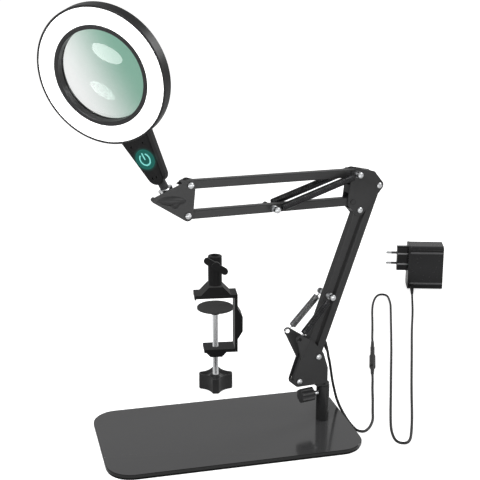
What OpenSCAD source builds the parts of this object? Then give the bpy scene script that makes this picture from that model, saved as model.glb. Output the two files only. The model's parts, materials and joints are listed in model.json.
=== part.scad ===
// Ring-light magnifier on a spring-balanced double-parallelogram arm, with a
// weighted base, a spare table clamp, a low-voltage lead and a plug-in adaptor.
// Origin: centre of the base's underside. +Z up, +X towards the post. Millimetres.

/* [Base] */
// Length of the base plate, along X
plate_len = 320; // [300:5:380]
// Width of the base plate, along Y
plate_wid = 180; // [140:5:220]
// Radius of the plate's corners
plate_corner = 32; // [10:1:50]
// Thickness of the steel plate
plate_t = 4; // [3.5:0.5:8]
// Height of the bevel round the plate's upper edge
plate_bevel = 0.8; // [0.3:0.1:1.5]
// Thickness of the anti-slip pad under the plate
pad_t = 3; // [2:0.5:6]
// How far the pad's edge stays inside the plate's edge
pad_inset = 1.5; // [0.5:0.5:6]

/* [Post and thumb screw] */
// Distance of the post's axis from the plate's right end
post_inset = 31; // [25:1:50]
// Outer diameter of the post
post_od = 17; // [16:0.5:24]
// Height of the post above the plate
post_h = 49; // [40:1:70]
// Diameter of the arm's swivel pin
pin_d = 12; // [8:0.5:13]
// Depth of the swivel pin inside the post
pin_depth = 36; // [25:1:38]
// Diameter of the screw that holds the post from below
post_screw_d = 8; // [5:1:9]
// Height of the thumb screw's axis above the plate
thumb_z = 38.5; // [25:0.5:41]
// Diameter of the thumb screw's stud
thumb_stud_d = 6; // [4:0.5:8]
// Length of bare stud between post and knob
thumb_show = 5; // [1:0.5:10]
// Diameter over the knob's lobes
thumb_knob_d = 19; // [14:1:24]
// Length of the thumb knob
thumb_knob_len = 20; // [12:1:26]

/* [Arm pose] */
// Turn of the arm's plane about the post, in degrees
arm_yaw = 12.5; // [0:0.5:25]
// Slope of the lower arm above the horizontal, in degrees
lower_slope = 69; // [66:0.5:85]
// Slope of the upper arm above the horizontal, in degrees
upper_slope = 2.35; // [-5:0.05:10]
// Lean of the head in the arm's plane, in degrees
head_lean = 24.75; // [16:0.25:26]
// Lean of the head to the far side, in degrees
head_side = 10.4; // [10:0.1:12]
// Turn of the head about its neck, in degrees
head_turn = 50.75; // [0:0.25:80]

/* [Arm bars] */
// Width of the square bars
bar_w = 10; // [8:0.5:10.5]
// Wall of the square bars
bar_wall = 1.2; // [0.8:0.1:2]
// Radius along the bars' edges
bar_edge = 1; // [0.3:0.1:2]
// Length of the lower arm between pivots
lower_len = 229; // [200:1:300]
// Length of the upper arm between pivots
upper_len = 222; // [190:1:300]
// Spacing of the two pivots at each end of the lower arm
lower_link = 39.5; // [38:0.5:44]
// Direction from the rear to the front lower pivot, in degrees
lower_link_dir = 226; // [220:0.5:228]
// Spacing of the two pivots at each end of the upper arm
upper_link = 35.5; // [33:0.5:40]
// Direction from the top to the bottom upper pivot, in degrees
upper_link_dir = 264; // [258:0.5:270]

/* [Brackets] */
// Thickness of the bracket sheet
sheet_t = 1.5; // [1:0.1:2]
// Distance of the rear base pivot from the post's axis
p1_back = 12; // [10:0.5:16]
// Height of the rear base pivot above the post's top
p1_rise = 42; // [36:1:50]
// Distance of the elbow's upper pivot behind its lower one
elbow_back = 33.5; // [28:0.5:40]
// Rise of the elbow's upper pivot over its lower one
elbow_rise = 18; // [12:0.5:24]
// Radius of the sheet around a pivot
boss_r = 7.5; // [6.5:0.5:9]
// Diameter of the pivot screws
pivot_d = 5; // [4:0.5:6]
// Diameter of the pivot screws' heads
head_d = 7.2; // [7:0.2:10]
// Height of the pivot screws' heads
head_h = 2.6; // [1.5:0.1:4]
// Height of the swivel pin's tongue between the base bracket's plates
tang_h = 14; // [8:1:18]

/* [Springs] */
// Outer diameter of the springs
spring_od = 9; // [7:0.5:10]
// Diameter of the springs' wire
wire_d = 1.3; // [0.9:0.1:1.6]
// Distance of the springs' axes from the arm's middle plane
spring_out = 13; // [12.5:0.5:18]
// Turns of each lower spring
lower_turns = 12; // [8:1:14]
// Turns of each upper spring
upper_turns = 24; // [16:1:28]
// Distance of the lower springs' pin from the front base pivot
lower_pin_at = 115.5; // [100:0.5:135]
// Distance of the upper springs' pin from the bottom elbow pivot
upper_pin_at = 110.5; // [95:0.5:130]
// Reach of the base bracket's horns from their bend
horn_reach = 23; // [18:0.5:26]
// Flare of the horns, in degrees
horn_flare = 22; // [18:1:28]

/* [Head joint] */
// Diameter of the ball
ball_d = 15; // [14:0.5:16]
// Distance of the ball behind the head bracket's upper pivot
ball_back = 19.4; // [18:0.1:24]
// Drop of the ball under the head bracket's upper pivot
ball_drop = 19.4; // [18:0.1:24]
// Diameter of the chrome collar
collar_d = 17.6; // [15:0.2:17.6]
// Height of the chrome collar
collar_h = 9; // [8:0.5:10]
// Diameter of the neck rod
neck_d = 10; // [8:0.5:11]
// Length of neck that shows between collar and handle
neck_show = 7.4; // [4:0.2:14]

/* [Ring head] */
// Outer diameter of the ring
ring_od = 159.6; // [150:0.2:168]
// Depth of the ring, front to back
ring_depth = 15; // [14:0.5:20]
// Wall of the mouldings
shell_wall = 2.4; // [1.5:0.1:2.6]
// Diameter of the lens
lens_d = 110; // [100:1:112]
// Thickness of the lens at its edge
lens_edge = 3.2; // [2:0.2:4]
// Rise of each lens face over its edge
lens_rise = 3; // [1:0.5:4]
// Width of the bezel's front face
bezel_w = 5; // [4:0.5:8]
// Thickness of the diffuser
diffuser_t = 2.6; // [1.5:0.1:3]
// Thickness of the circuit boards
board_t = 1.6; // [1:0.1:2]

/* [Handle] */
// Length of the handle below the ring's edge
handle_len = 56.8; // [50:0.2:70]
// Width of the handle at the ring
handle_w = 38; // [32:1:46]
// Width of the handle at its end
handle_end_w = 20.5; // [18:0.5:26]
// Thickness of the handle
handle_t = 14; // [12:0.5:14.5]
// Diameter of the touch button
button_d = 24; // [18:1:26]
// Diameter of the handle's small screws
handle_screw_d = 2.4; // [2:0.1:3]

/* [Table clamp] */
// Place of the clamp beside the base, along X
clamp_x = 20.5; // [0:0.5:40]
// Place of the clamp behind the base, along Y
clamp_y = 145; // [140:1:180]
// Turn of the clamp, in degrees
clamp_yaw = -7.5; // [-20:0.5:20]
// Depth of the clamp casting
clamp_depth = 28; // [24:1:36]
// Thickness of the clamp's jaws
jaw_t = 4.5; // [4:0.5:8]
// Length of the upper jaw from the column to its tip
jaw_reach = 29; // [26:1:44]
// Distance of the clamp's back from the column
back_reach = 29.5; // [28:0.5:36]
// Height of the open space between the jaws
jaw_open = 74; // [60:1:84]
// Outer diameter of the clamp's column
column_od = 19; // [17:0.5:22]
// Height of the clamp's column
column_h = 41; // [36:1:50]
// Diameter of the clamp screw
clamp_screw_d = 8; // [6:0.5:10]
// Diameter of the clamp's pad
clamp_pad_d = 50; // [36:1:54]
// Gap between pad and upper jaw
clamp_gap = 16; // [10:1:24]
// Diameter of the star knob
star_d = 46.4; // [38:0.2:52]
// Height of the star knob
star_h = 22; // [20:1:30]
// Bare screw between star knob and lower jaw's boss
screw_show = 29; // [18:1:32]
// Span of the wing screw
wing_span = 37; // [28:1:44]

/* [Lead and adaptor] */
// Diameter of the lead
cord_d = 3.5; // [2.5:0.1:3.8]
// Diameter of the in-line connector
plug_d = 9; // [8:0.5:11]
// Width of the adaptor
adaptor_w = 61; // [50:1:70]
// Depth of the adaptor
adaptor_d = 40; // [34:1:48]
// Height of the adaptor
adaptor_h = 78; // [66:1:90]
// Radius of the adaptor's long edges
adaptor_r = 6; // [2:0.5:10]
// Spacing of the mains pins
pin_pitch = 19; // [16:0.5:24]

/* [Fits] */
// Radial clearance of a running fit
run_fit = 0.05; // [0.02:0.01:0.1]
// Clearance between parts that only pass each other
gap = 0.3; // [0.2:0.05:0.5]

/* [Hidden] */
$fn = 64;

// Colours
black_satin = "#2b2b2d";
black_gloss = "#1c1c1e";
black_soft = "#161617";
bright = "#c9cbce";
nylon = "#dddcd4";

// Heights of the base
plate_top = pad_t + plate_t;
post_top = plate_top + post_h;
collar_t = 2;
post_x = plate_len / 2 - post_inset;

// Half the width between a bracket's plates, and over them
flange_t = 0.5;
side_gap = flange_t + 0.1;
half_in = bar_w / 2 + side_gap;
half_out = half_in + sheet_t;

// A unit step at an angle in the arm's plane
function dir(a) = [cos(a), sin(a)];

// Pivots in the arm's plane: distance from the post's axis, then height
P1 = [-p1_back, post_top + p1_rise];
P2 = P1 + lower_link * dir(lower_link_dir);
Q1 = P1 + lower_len * dir(lower_slope);
Q2 = Q1 + P2 - P1;
R1 = Q1 + [-elbow_back, elbow_rise];
R2 = R1 + upper_link * dir(upper_link_dir);
S1 = R1 + upper_len * dir(180 - upper_slope);
S2 = S1 + R2 - R1;
B = S1 - [ball_back, ball_drop];
T = B + [-24.3, 6.5];
tip_r = 3.2;

// Middle of the elbow's corner and the foot of the base bracket's right edge
elbow_corner = Q1 + [-9.5, 14.5];
elbow_corner_r = 4.5;
web_s = 2.5;
bracket_foot = post_top + gap + collar_t + 1.5;
bracket_heel = bracket_foot + 22;
horn_low = P1 + [-25, 0];
horn_top = P1 + [-13, 24];

// Spring pins
lower_pin = P2 + lower_pin_at * dir(lower_slope);
upper_pin = R2 + upper_pin_at * dir(180 - upper_slope);
spring_pin_d = 5;
pin_head_h = 2.4;
spring_r = (spring_od - wire_d) / 2;

// Head stack along the neck, measured from the ball's centre
collar_at = 10.3;
collar_flare = 1.5;
collar_top = collar_at + collar_h;
stem_d = 5;
handle_at = collar_top + neck_show;
neck_in = 5.5;

// Ring head, measured from its middle plane towards the front
front_z = ring_depth / 2;
back_z = -ring_depth / 2;
ring_r = ring_od / 2;
seat_r = lens_d / 2 + gap;
inner_r = seat_r + 1.5;
lens_back_z = back_z + 3;
lens_front_z = lens_back_z + lens_edge;
diffuser_z = front_z - 0.5 - diffuser_t;
ledge_w = 2;
bezel_t = 2;
bezel_in = lens_d / 2 - 2;
bezel_out = bezel_in + bezel_w;
board_z = -1;
board_seat = 3;

// Handle, measured down from the ring's centre
handle_end = ring_r + handle_len;
head_reach = handle_at + handle_end;
button_y = ring_r + 0.425 * handle_len;
button_t = 3;
hole_top_y = ring_r + 6;
hole_low_y = handle_end - neck_in - 3.5;
hole_top_x = handle_w / 2 - 10.4;
hole_low_x = 2.9;

// Clamp heights
boss_h = 6.5;
boss_z = star_h + screw_show;
jaw_low_z = boss_z + boss_h;
jaw_low_top = jaw_low_z + jaw_t;
jaw_up_z = jaw_low_top + jaw_open;
gusset_z = jaw_up_z + jaw_t;
gusset_h = 11.5;
column_z = gusset_z + gusset_h;
column_bore = pin_d;
clamp_pad_t = 2.4;
clamp_pad_z = jaw_up_z - clamp_gap - clamp_pad_t;
pad_hub_h = 8;
wing_z = column_z + column_h - 10.5;

// In-line connector and lead on the table
cord_z = cord_d / 2;
lead_x = post_x - 129;
socket_from = [246 + lead_x, 126];
socket_len = 66;
plug_len = 57;
relief_in = 23;
plug_step = 36;
line_dir = [0.355, 0.935];
socket_to = socket_from + socket_len * line_dir;
plug_to = socket_to + plug_len * line_dir;

// Adaptor: stands on its narrow side, facing the front
adaptor_at = [478 + lead_x, 483];
adaptor_yaw = -17;
relief_len = 36;
relief_x = 7.7;
relief_z = 5;
adaptor_plug_w = 19;
adaptor_plug_h = 44;
mains_pin_len = 19;
mains_pin_d = 4;

// Frame of the arm's plane: X along the arm, Y to the far side
module arm_frame() translate([post_x, 0, 0]) rotate([0, 0, arm_yaw]) children();

// Frame of the head: origin at the ball, Z along the neck, front towards -Y
module head_frame() arm_frame() translate([B.x, 0, B.y])
  rotate([0, -head_lean, 0]) rotate([-head_side, 0, 0]) rotate([0, 0, -head_turn]) children();

// Frame of the ring: origin at its middle, Z to the front, -Y to the handle
module ring_frame() head_frame() translate([0, 0, head_reach]) rotate([90, 0, 0]) children();

module clamp_at() translate([clamp_x, clamp_y, 0]) rotate([0, 0, clamp_yaw]) children();

module adaptor_frame() translate([adaptor_at.x, adaptor_at.y, 0])
  rotate([0, 0, adaptor_yaw]) children();

// A drawing in the arm's plane, made into a sheet from y0 to y0 + t
module sheet(y0, t) translate([0, y0 + t, 0]) rotate([90, 0, 0]) linear_extrude(t) children();

// A cylinder across the arm's plane at point p
module cross(p, y0, y1, d) translate([p.x, y1, p.y]) rotate([90, 0, 0])
  cylinder(d = d, h = y1 - y0);

// Outer side of the straight edge from circle i to the next, for circles listed
// anticlockwise as [centre, radius]
function edge_normal(a, b) =
  let (v = b[0] - a[0], len = norm(v), d = v / len, k = (a[1] - b[1]) / len)
  k * d + sqrt(1 - k * k) * [d.y, -d.x];
function edge_ends(a, b) = let (m = edge_normal(a, b)) [a[0] + a[1] * m, b[0] + b[1] * m];

// Outline that wraps a ring of circles with straight edges between them
module wrap(c) {
  n = len(c);
  polygon([for (i = [0:n - 1]) each edge_ends(c[i], c[(i + 1) % n])]);
  for (k = c) translate(k[0]) circle(r = k[1]);
}

// Strip along the inside of an edge, between two shares of its length
module edge_strip(a, b, from, to, t) {
  e = edge_ends(a, b);
  m = edge_normal(a, b);
  p = e[0] + from * (e[1] - e[0]);
  q = e[0] + to * (e[1] - e[0]);
  polygon([p, q, q - t * m, p - t * m]);
}

module rounded_box_2d(w, h, r) {
  square([w, h - 2 * r], center = true);
  square([w - 2 * r, h], center = true);
  for (x = [-1, 1], y = [-1, 1])
    translate([x * (w / 2 - r), y * (h / 2 - r)]) circle(r = r);
}

// Pan head with a screwdriver slot, its seat at y = 0 and its top towards -Y
module slotted_head(d, h) difference() {
  rotate([90, 0, 0]) intersection() {
    cylinder(d = d, h = h);
    translate([0, 0, h - 1.3 * d / 2 * 1.6]) sphere(r = 1.3 * d / 2 * 1.6);
  }
  translate([-d / 2 - 1, -h - 1, -0.5]) cube([d + 2, 1.9, 1]);
}

// Base
module base_pad() color(black_soft) difference() {
  linear_extrude(pad_t)
    rounded_box_2d(plate_len - 2 * pad_inset, plate_wid - 2 * pad_inset,
      plate_corner - pad_inset);
  translate([post_x, 0, -1]) cylinder(d = 2.4 * post_screw_d, h = pad_t + 2);
}

module base_plate() color(black_gloss) difference() {
  translate([0, 0, pad_t]) {
    linear_extrude(plate_t - plate_bevel)
      rounded_box_2d(plate_len, plate_wid, plate_corner);
    linear_extrude(plate_t)
      rounded_box_2d(plate_len - 2 * plate_bevel, plate_wid - 2 * plate_bevel,
        plate_corner - plate_bevel);
  }
  translate([post_x, 0, -1]) cylinder(d = post_screw_d + 2 * gap, h = plate_top + 2);
  translate([post_x, 0, pad_t - 1]) cylinder(d = 2 * post_screw_d, h = 1 + plate_t / 2);
}

module post() color(black_satin) translate([post_x, 0, plate_top]) difference() {
  union() {
    cylinder(d = post_od, h = post_h - 0.8);
    cylinder(d = post_od - 1.6, h = post_h);
  }
  translate([0, 0, post_h - pin_depth - gap])
    cylinder(d = pin_d + 2 * run_fit, h = pin_depth + gap + 1);
  translate([0, 0, -1]) cylinder(d = post_screw_d, h = post_h - pin_depth - gap - 1);
  rotate([0, 0, arm_yaw]) translate([-post_od, 0, thumb_z]) rotate([0, 90, 0])
    cylinder(d = thumb_stud_d + 2 * run_fit, h = post_od);
}

// Cap screw through the plate into the post's foot
module post_screw() color(bright) translate([post_x, 0, pad_t]) difference() {
  union() {
    cylinder(d = 2 * post_screw_d - 2 * gap, h = plate_t / 2);
    cylinder(d = post_screw_d, h = plate_t + post_h - pin_depth - gap - 4);
  }
  translate([0, 0, -1]) cylinder(d = post_screw_d * 0.7, h = 1 + plate_t / 4, $fn = 6);
}

// Thumb screw: local Z runs from the pin outwards, along the arm
module thumb_frame() arm_frame() translate([0, 0, plate_top + thumb_z])
  rotate([0, -90, 0]) children();

thumb_knob_z = post_od / 2 + thumb_show;

module thumb_stud() color(bright) thumb_frame()
  translate([0, 0, pin_d / 2 + gap])
    cylinder(d = thumb_stud_d, h = thumb_knob_z - pin_d / 2 - gap + thumb_knob_len / 2);

module thumb_knob() color(black_satin) thumb_frame() difference() {
  translate([0, 0, thumb_knob_z]) {
    cylinder(d = thumb_stud_d + 4, h = 3);
    translate([0, 0, 2]) intersection() {
      linear_extrude(thumb_knob_len - 2) {
        circle(d = thumb_knob_d - 4);
        for (i = [0:5]) rotate(60 * i) translate([thumb_knob_d / 2 - 3, 0]) circle(r = 3);
      }
      translate([0, 0, (thumb_knob_len - 2) / 2]) sphere(d = thumb_knob_len * 1.25);
    }
  }
  translate([0, 0, thumb_knob_z - 1]) cylinder(d = thumb_stud_d, h = thumb_knob_len / 2 + 1);
}

// Base bracket: two side plates, a right web, a rolled lip and two flared spring horns
base_ring = [
  [P2, boss_r],
  [[web_s - 1, bracket_foot + 1], 1],
  [[web_s - 1.5, bracket_heel - 1.5], 1.5],
  [P1, boss_r + 1],
  [horn_top, 3]
];

horn_tilt = atan2(horn_top.x - horn_low.x, horn_top.y - horn_low.y);
horn_span = norm(horn_top - horn_low);
hook_r = 5;
hook_hole_r = 2.6;

// One horn, drawn out from its bend: X to the outside, Y along the bend
module horn_outline() difference() {
  union() {
    polygon([[1.5, -1], [1.5, horn_span + 1], [-horn_reach + 3, horn_span + 3.5],
      [-horn_reach - 3, horn_span - 4]]);
    translate([-horn_reach, horn_span - 1]) circle(r = hook_r);
  }
  translate([-horn_reach, horn_span - 1]) circle(r = hook_hole_r);
  translate([-horn_reach, horn_span - 1]) rotate(215) translate([0, -1.2])
    square([hook_r + 4, 2.4]);
}

module horn() translate([horn_low.x, -half_in - sheet_t / 2, horn_low.y])
  rotate([0, horn_tilt, 0]) rotate([0, 0, horn_flare]) rotate([90, 0, 0])
    linear_extrude(sheet_t, center = true) horn_outline();

module base_bracket() color(black_satin) arm_frame() difference() {
  union() {
    for (y = [-half_out, half_in]) sheet(y, sheet_t) wrap(base_ring);
    horn();
    mirror([0, 1, 0]) horn();
    sheet(-half_out, 2 * half_out)
      translate([web_s - sheet_t, bracket_foot + 1])
        square([sheet_t, bracket_heel - bracket_foot - 2.5]);
    sheet(-half_out, 2 * half_out) intersection() {
      difference() {
        translate(P2) circle(r = boss_r);
        translate(P2) circle(r = boss_r - sheet_t);
      }
      translate(P2) polygon([[0, 0], 20 * dir(170), 20 * dir(215), 20 * dir(265)]);
    }
  }
  for (p = [P1, P2]) cross(p, -50, 50, pivot_d);
}

// Swivel pin with a tongue between the bracket's plates
module swivel_pin() color(bright) arm_frame() {
  translate([0, 0, post_top - pin_depth]) cylinder(d = pin_d, h = pin_depth + 1);
  translate([0, 0, post_top + gap]) cylinder(d = post_od - 1, h = collar_t);
  translate([web_s - sheet_t - 13, -half_in, post_top + gap])
    cube([13, 2 * half_in, collar_t + tang_h]);
}

// Pivot screws with heads on the near side, and nuts on the far side
module pivot_screws(points) for (p = points) {
  cross(p, -half_out - 0.5, half_out + 4.5, pivot_d);
  translate([p.x, -half_out, p.y]) slotted_head(head_d, head_h);
}

module pivot_nuts(points) for (p = points) difference() {
  translate([p.x, half_out + 4, p.y]) rotate([90, 0, 0])
    cylinder(d = 1.85 * pivot_d, h = 4, $fn = 6);
  cross(p, half_out - 1, half_out + 6, pivot_d);
}

module base_pivots() color(bright) arm_frame() pivot_screws([P1, P2]);
module base_pivot_nuts() color(bright) arm_frame() pivot_nuts([P1, P2]);

// Square tube from a to b with rounded ends, bored for a bush at both
bush_d = pivot_d + 2;

module bar(a, b) {
  v = b - a;
  slope = atan2(v.y, v.x);
  len = norm(v);
  difference() {
    translate([a.x, 0, a.y]) rotate([0, -slope, 0]) difference() {
      intersection() {
        rotate([90, 0, 0]) translate([0, 0, -bar_w / 2]) linear_extrude(bar_w)
          wrap([[[0, 0], bar_w / 2], [[len, 0], bar_w / 2]]);
        translate([-bar_w, 0, 0]) rotate([90, 0, 90]) linear_extrude(len + 2 * bar_w)
          rounded_box_2d(bar_w, bar_w, bar_edge);
      }
      translate([0, bar_wall - bar_w / 2, bar_wall - bar_w / 2])
        cube([len, bar_w - 2 * bar_wall, bar_w - 2 * bar_wall]);
    }
    for (p = [a, b]) cross(p, -bar_w, bar_w, bush_d);
  }
}

// Flanged nylon bushes at a bar's two ends; the second bore can be opened
module bushes(a, b, loose) for (k = [[a, run_fit], [b, loose]]) difference() {
  union() {
    cross(k[0], -bar_w / 2, bar_w / 2, bush_d);
    for (y = [-bar_w / 2 - flange_t, bar_w / 2])
      cross(k[0], y, y + flange_t, bar_w - 0.5);
  }
  cross(k[0], -bar_w, bar_w, pivot_d + 2 * k[1]);
}

module lower_rear_bar() color(black_satin) arm_frame() bar(P1, Q1);
module lower_rear_bushes() color(nylon) arm_frame() bushes(P1, Q1, run_fit);
module lower_front_bar() color(black_satin) arm_frame() difference() {
  bar(P2, Q2);
  cross(lower_pin, -bar_w, bar_w, spring_pin_d);
}
module lower_front_bushes() color(nylon) arm_frame() bushes(P2, Q2, gap);
module upper_top_bar() color(black_satin) arm_frame() bar(R1, S1);
module upper_top_bushes() color(nylon) arm_frame() bushes(R1, S1, run_fit);
module upper_bottom_bar() color(black_satin) arm_frame() difference() {
  bar(R2, S2);
  cross(upper_pin, -bar_w, bar_w, spring_pin_d);
}
module upper_bottom_bushes() color(nylon) arm_frame() bushes(R2, S2, gap);

// Cross pin that carries a pair of springs, with a head at each end
pin_end = spring_out + wire_d + 1.2;

module spring_pin(p) {
  cross(p, -pin_end, pin_end, spring_pin_d);
  translate([p.x, -pin_end + 0.01, p.y]) slotted_head(head_d, pin_head_h);
  rotate([0, 0, 180]) translate([-p.x, -pin_end + 0.01, p.y]) slotted_head(head_d, pin_head_h);
  for (y = [-half_out - 2, bar_w / 2]) cross(p, y, y + half_out + 2 - bar_w / 2, spring_pin_d + 3);
}

module lower_spring_pin() color(bright) arm_frame() spring_pin(lower_pin);
module upper_spring_pin() color(bright) arm_frame() spring_pin(upper_pin);

// Spring wire: a straight end, a cone of one turn, the coil, and the same again.
// Each point is [angle, radius, height] about the spring's axis.
rings = 8;
leg_steps = 2;

function wire_profile(len, turns, leg) =
  let (n = rings * (turns + 2), rise = len - 2 * leg)
  concat(
    [for (i = [0:leg_steps - 1]) [0, 0, leg * i / leg_steps]],
    [for (i = [0:n]) [360 * i / rings,
      spring_r * min(1, i / rings, (n - i) / rings), leg + rise * i / n]],
    [for (i = [1:leg_steps]) [360 * n / rings, 0, len - leg + leg * i / leg_steps]]);

function wire_points(profile) = [for (k = profile) [k[1] * cos(k[0]), k[1] * sin(k[0]), k[2]]];

function unit(v) = v / norm(v);

function path_tangent(p, i) = unit(p[min(i + 1, len(p) - 1)] - p[max(i - 1, 0)]);

// Ring of six points square to the wire at point i
function wire_ring(p, profile, i) =
  let (t = i == 0 || i == len(p) - 1 ? [0, 0, 1] : path_tangent(p, i),
    e = [cos(profile[i][0]), sin(profile[i][0]), 0],
    a = unit(e - (e * t) * t), b = cross3(t, a))
  [for (j = [0:5]) p[i] + wire_d / 2 * (cos(60 * j) * a + sin(60 * j) * b)];

function cross3(a, b) = [a.y * b.z - a.z * b.y, a.z * b.x - a.x * b.z, a.x * b.y - a.y * b.x];

// Triangles of a closed tube of n rings with k sides
function tube_faces(n, k) = concat(
  [for (j = [1:k - 2]) [0, j, j + 1]],
  [for (i = [0:n - 2], j = [0:k - 1]) each let (a = i * k + j, b = i * k + (j + 1) % k)
    [[a, a + k, b], [b, a + k, b + k]]],
  [for (j = [1:k - 2]) [(n - 1) * k, (n - 1) * k + j + 1, (n - 1) * k + j]]);

// Least room between a wire's turns, measured on its points
function self_gap(p) = min([for (i = [0:len(p) - 1]) for (j = [i + 5:1:min(i + 13, len(p) - 1)])
  norm(p[i] - p[j])]) - wire_d;

module spring(from, to, turns, leg) {
  v = to - from;
  len = norm(v);
  profile = wire_profile(len, turns, leg);
  p = wire_points(profile);
  echo(spring_self_gap = self_gap(p));
  translate(from) rotate([0, acos(v.z / len), atan2(v.y, v.x)])
    polyhedron([for (i = [0:len(p) - 1]) each wire_ring(p, profile, i)],
      tube_faces(len(p), 6), convexity = 10);
}

// Hook hole of the near horn, in the arm's frame
horn_x = -horn_reach * cos(horn_flare);
hook_y = half_in + sheet_t / 2 + horn_reach * sin(horn_flare);
hook_at = horn_low + horn_x * [cos(horn_tilt), -sin(horn_tilt)]
  + (horn_span - 1) * [sin(horn_tilt), cos(horn_tilt)];

// End of a spring at a pin of radius r, on the line towards the other end
function spring_end(p, other, r, y) = let (d = unit(other - p), e = p + (r + gap) * d) [e.x, y, e.y];

module lower_springs() color("#55565a") arm_frame() for (y = [-1, 1])
  spring(spring_end(hook_at, lower_pin, hook_r, y * hook_y),
    spring_end(lower_pin, hook_at, spring_pin_d / 2, y * spring_out), lower_turns, 4);

module upper_springs() color("#55565a") arm_frame() for (y = [-1, 1])
  spring(spring_end(upper_pin, R1, spring_pin_d / 2, y * spring_out),
    spring_end(R1, upper_pin, pivot_d / 2, y * spring_out), upper_turns, 4);

// Elbow bracket: two side plates with a top web and a left web between the bars
elbow_ring = [
  [R2, boss_r],
  [Q2, boss_r],
  [Q1, boss_r - 1],
  [elbow_corner, elbow_corner_r],
  [R1, boss_r - 1]
];

module elbow_bracket() color(black_satin) arm_frame() difference() {
  union() {
    for (y = [-half_out, half_in]) sheet(y, sheet_t) wrap(elbow_ring);
    sheet(half_in, sheet_t) wrap([[R1, boss_r - 1], [R1 + [-16, 1], 3]]);
    sheet(-half_out, 2 * half_out) {
      edge_strip(elbow_ring[3], elbow_ring[4], 0.12, 0.62, sheet_t);
      edge_strip(elbow_ring[4], elbow_ring[0], 0.42, 0.7, sheet_t);
      edge_strip(elbow_ring[0], elbow_ring[1], 0.33, 0.72, sheet_t);
    }
  }
  for (p = [Q1, Q2, R1, R2]) cross(p, -50, 50, pivot_d);
}

module elbow_pivots() color(bright) arm_frame() {
  pivot_screws([Q1, Q2]);
  cross(R2, -half_out - 1, half_out + 4.5, pivot_d);
  cross(R2, -half_out - 1, -half_out, head_d);
}

// Long bolt through the upper elbow pivot, with spacers up to the springs' ends
module elbow_bolt() color(bright) arm_frame() {
  cross(R1, -pin_end, pin_end, pivot_d);
  translate([R1.x, -pin_end + 0.01, R1.y]) slotted_head(head_d, head_h);
  for (y = [-spring_out + wire_d + 0.5, half_out])
    cross(R1, y, y + spring_out - wire_d - 0.5 - half_out, pivot_d + 3);
  rotate([0, 0, 180]) translate([-R1.x, -pin_end + 0.01, R1.y]) slotted_head(head_d, head_h);
}

module elbow_nuts() color(bright) arm_frame() pivot_nuts([Q1, Q2, R2]);

// Head bracket: two wedge plates pressed round a ball; the far one is cut back for the neck
head_ring = [[T, tip_r], [S2, boss_r - 1], [S1, boss_r - 1]];
far_ring = [[T + [6.5, -3.5], tip_r], [S2, boss_r - 1], [S1, boss_r - 1]];
socket_r = ball_d / 2 + run_fit;
far_notch = 8.8;
nose_pin_d = 3;

// Space for the neck and its collar beyond a radius from the ball
module neck_notch(r) difference() {
  polygon([[0, 0], 21.5 * dir(54), 21.5 * dir(70), 60 * dir(74), 60 * dir(110), 60 * dir(154)]);
  circle(r = r);
}

// Pressed swelling over the ball on the near plate, pointed at both ends
swell_at = B + [-3.5, 3.7];
swell_r = 6.9;
swell_half = 27;
swell_sunk = 4;

module swelling() intersection() {
  translate([swell_at.x, -half_out + swell_sunk, swell_at.y]) rotate([0, 96.5, 0])
    rotate_extrude() polygon([for (i = [-8:8]) [swell_r * (1 - (i / 8) ^ 2), swell_half * i / 8]]);
  translate([swell_at.x - 40, -half_out - 10, swell_at.y - 20]) cube([80, 10.3, 40]);
}

module head_bracket() color(black_satin) arm_frame() difference() {
  union() {
    sheet(-half_out, sheet_t) wrap(head_ring);
    sheet(half_in, sheet_t) {
      difference() {
        wrap(far_ring);
        translate(B) neck_notch(far_notch);
      }
      wrap([[S1, boss_r - 1], [S1 + [19, -2.5], 3]]);
    }
    sheet(-half_out, 2 * half_out) {
      edge_strip(head_ring[2], head_ring[0], 0.06, 0.15, sheet_t);
      edge_strip(head_ring[0], head_ring[1], 0.55, 0.8, sheet_t);
    }
    for (k = [-1, 1]) intersection() {
      translate([B.x, 0, B.y]) sphere(r = socket_r + sheet_t);
      translate([B.x - 20, k > 0 ? half_in : -half_in - 20, B.y - 20]) cube([40, 20, 40]);
    }
    swelling();
  }
  translate([B.x, 0, B.y]) sphere(r = socket_r);
  for (p = [S1, S2]) cross(p, -50, 50, pivot_d);
  cross(T, -50, 0, nose_pin_d);
}

module head_pivots() color(bright) arm_frame() pivot_screws([S1, S2]);
module head_pivot_nuts() color(bright) arm_frame() pivot_nuts([S1, S2]);

// Riveted stop at the near plate's nose
module nose_spacer() color(black_soft) arm_frame() {
  cross(T, -half_in, -half_in + 5, 5.5);
  cross(T, -half_out - 0.6, -half_in, nose_pin_d);
  cross(T, -half_out - 0.6, -half_out, 5.5);
}

// Ball stud and the chrome collar that the neck turns in
module ball_stud() color(bright) head_frame() {
  sphere(d = ball_d);
  cylinder(d = stem_d, h = collar_at + 3);
}

module neck_collar() color("#d8dadd") head_frame() difference() {
  translate([0, 0, collar_at]) rotate_extrude() polygon([[0, 0], [collar_d / 2 - collar_flare - 0.8, 0],
    [collar_d / 2 - collar_flare, 0.8], [collar_d / 2, collar_h - 0.8],
    [collar_d / 2 - 0.8, collar_h], [0, collar_h]]);
  cylinder(d = stem_d, h = collar_at + 3);
  translate([0, 0, collar_at + 3]) cylinder(d = neck_d + 2 * run_fit, h = collar_h);
}

module neck_rod() color(black_soft) head_frame()
  translate([0, 0, collar_at + 3 + gap])
    cylinder(d = neck_d, h = handle_at + neck_in - collar_at - 3 - gap);

// Handle outline below the ring, drawn in by an inset
module handle_outline(inset) {
  y_top = -ring_r + 4;
  y_low = -handle_end + handle_end_w / 2;
  w_top = handle_w / 2 - inset;
  r_low = handle_end_w / 2 - inset;
  wrap([[[-w_top + 1, y_top], 1], [[0, y_low], r_low], [[w_top - 1, y_top], 1]]);
}

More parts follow.
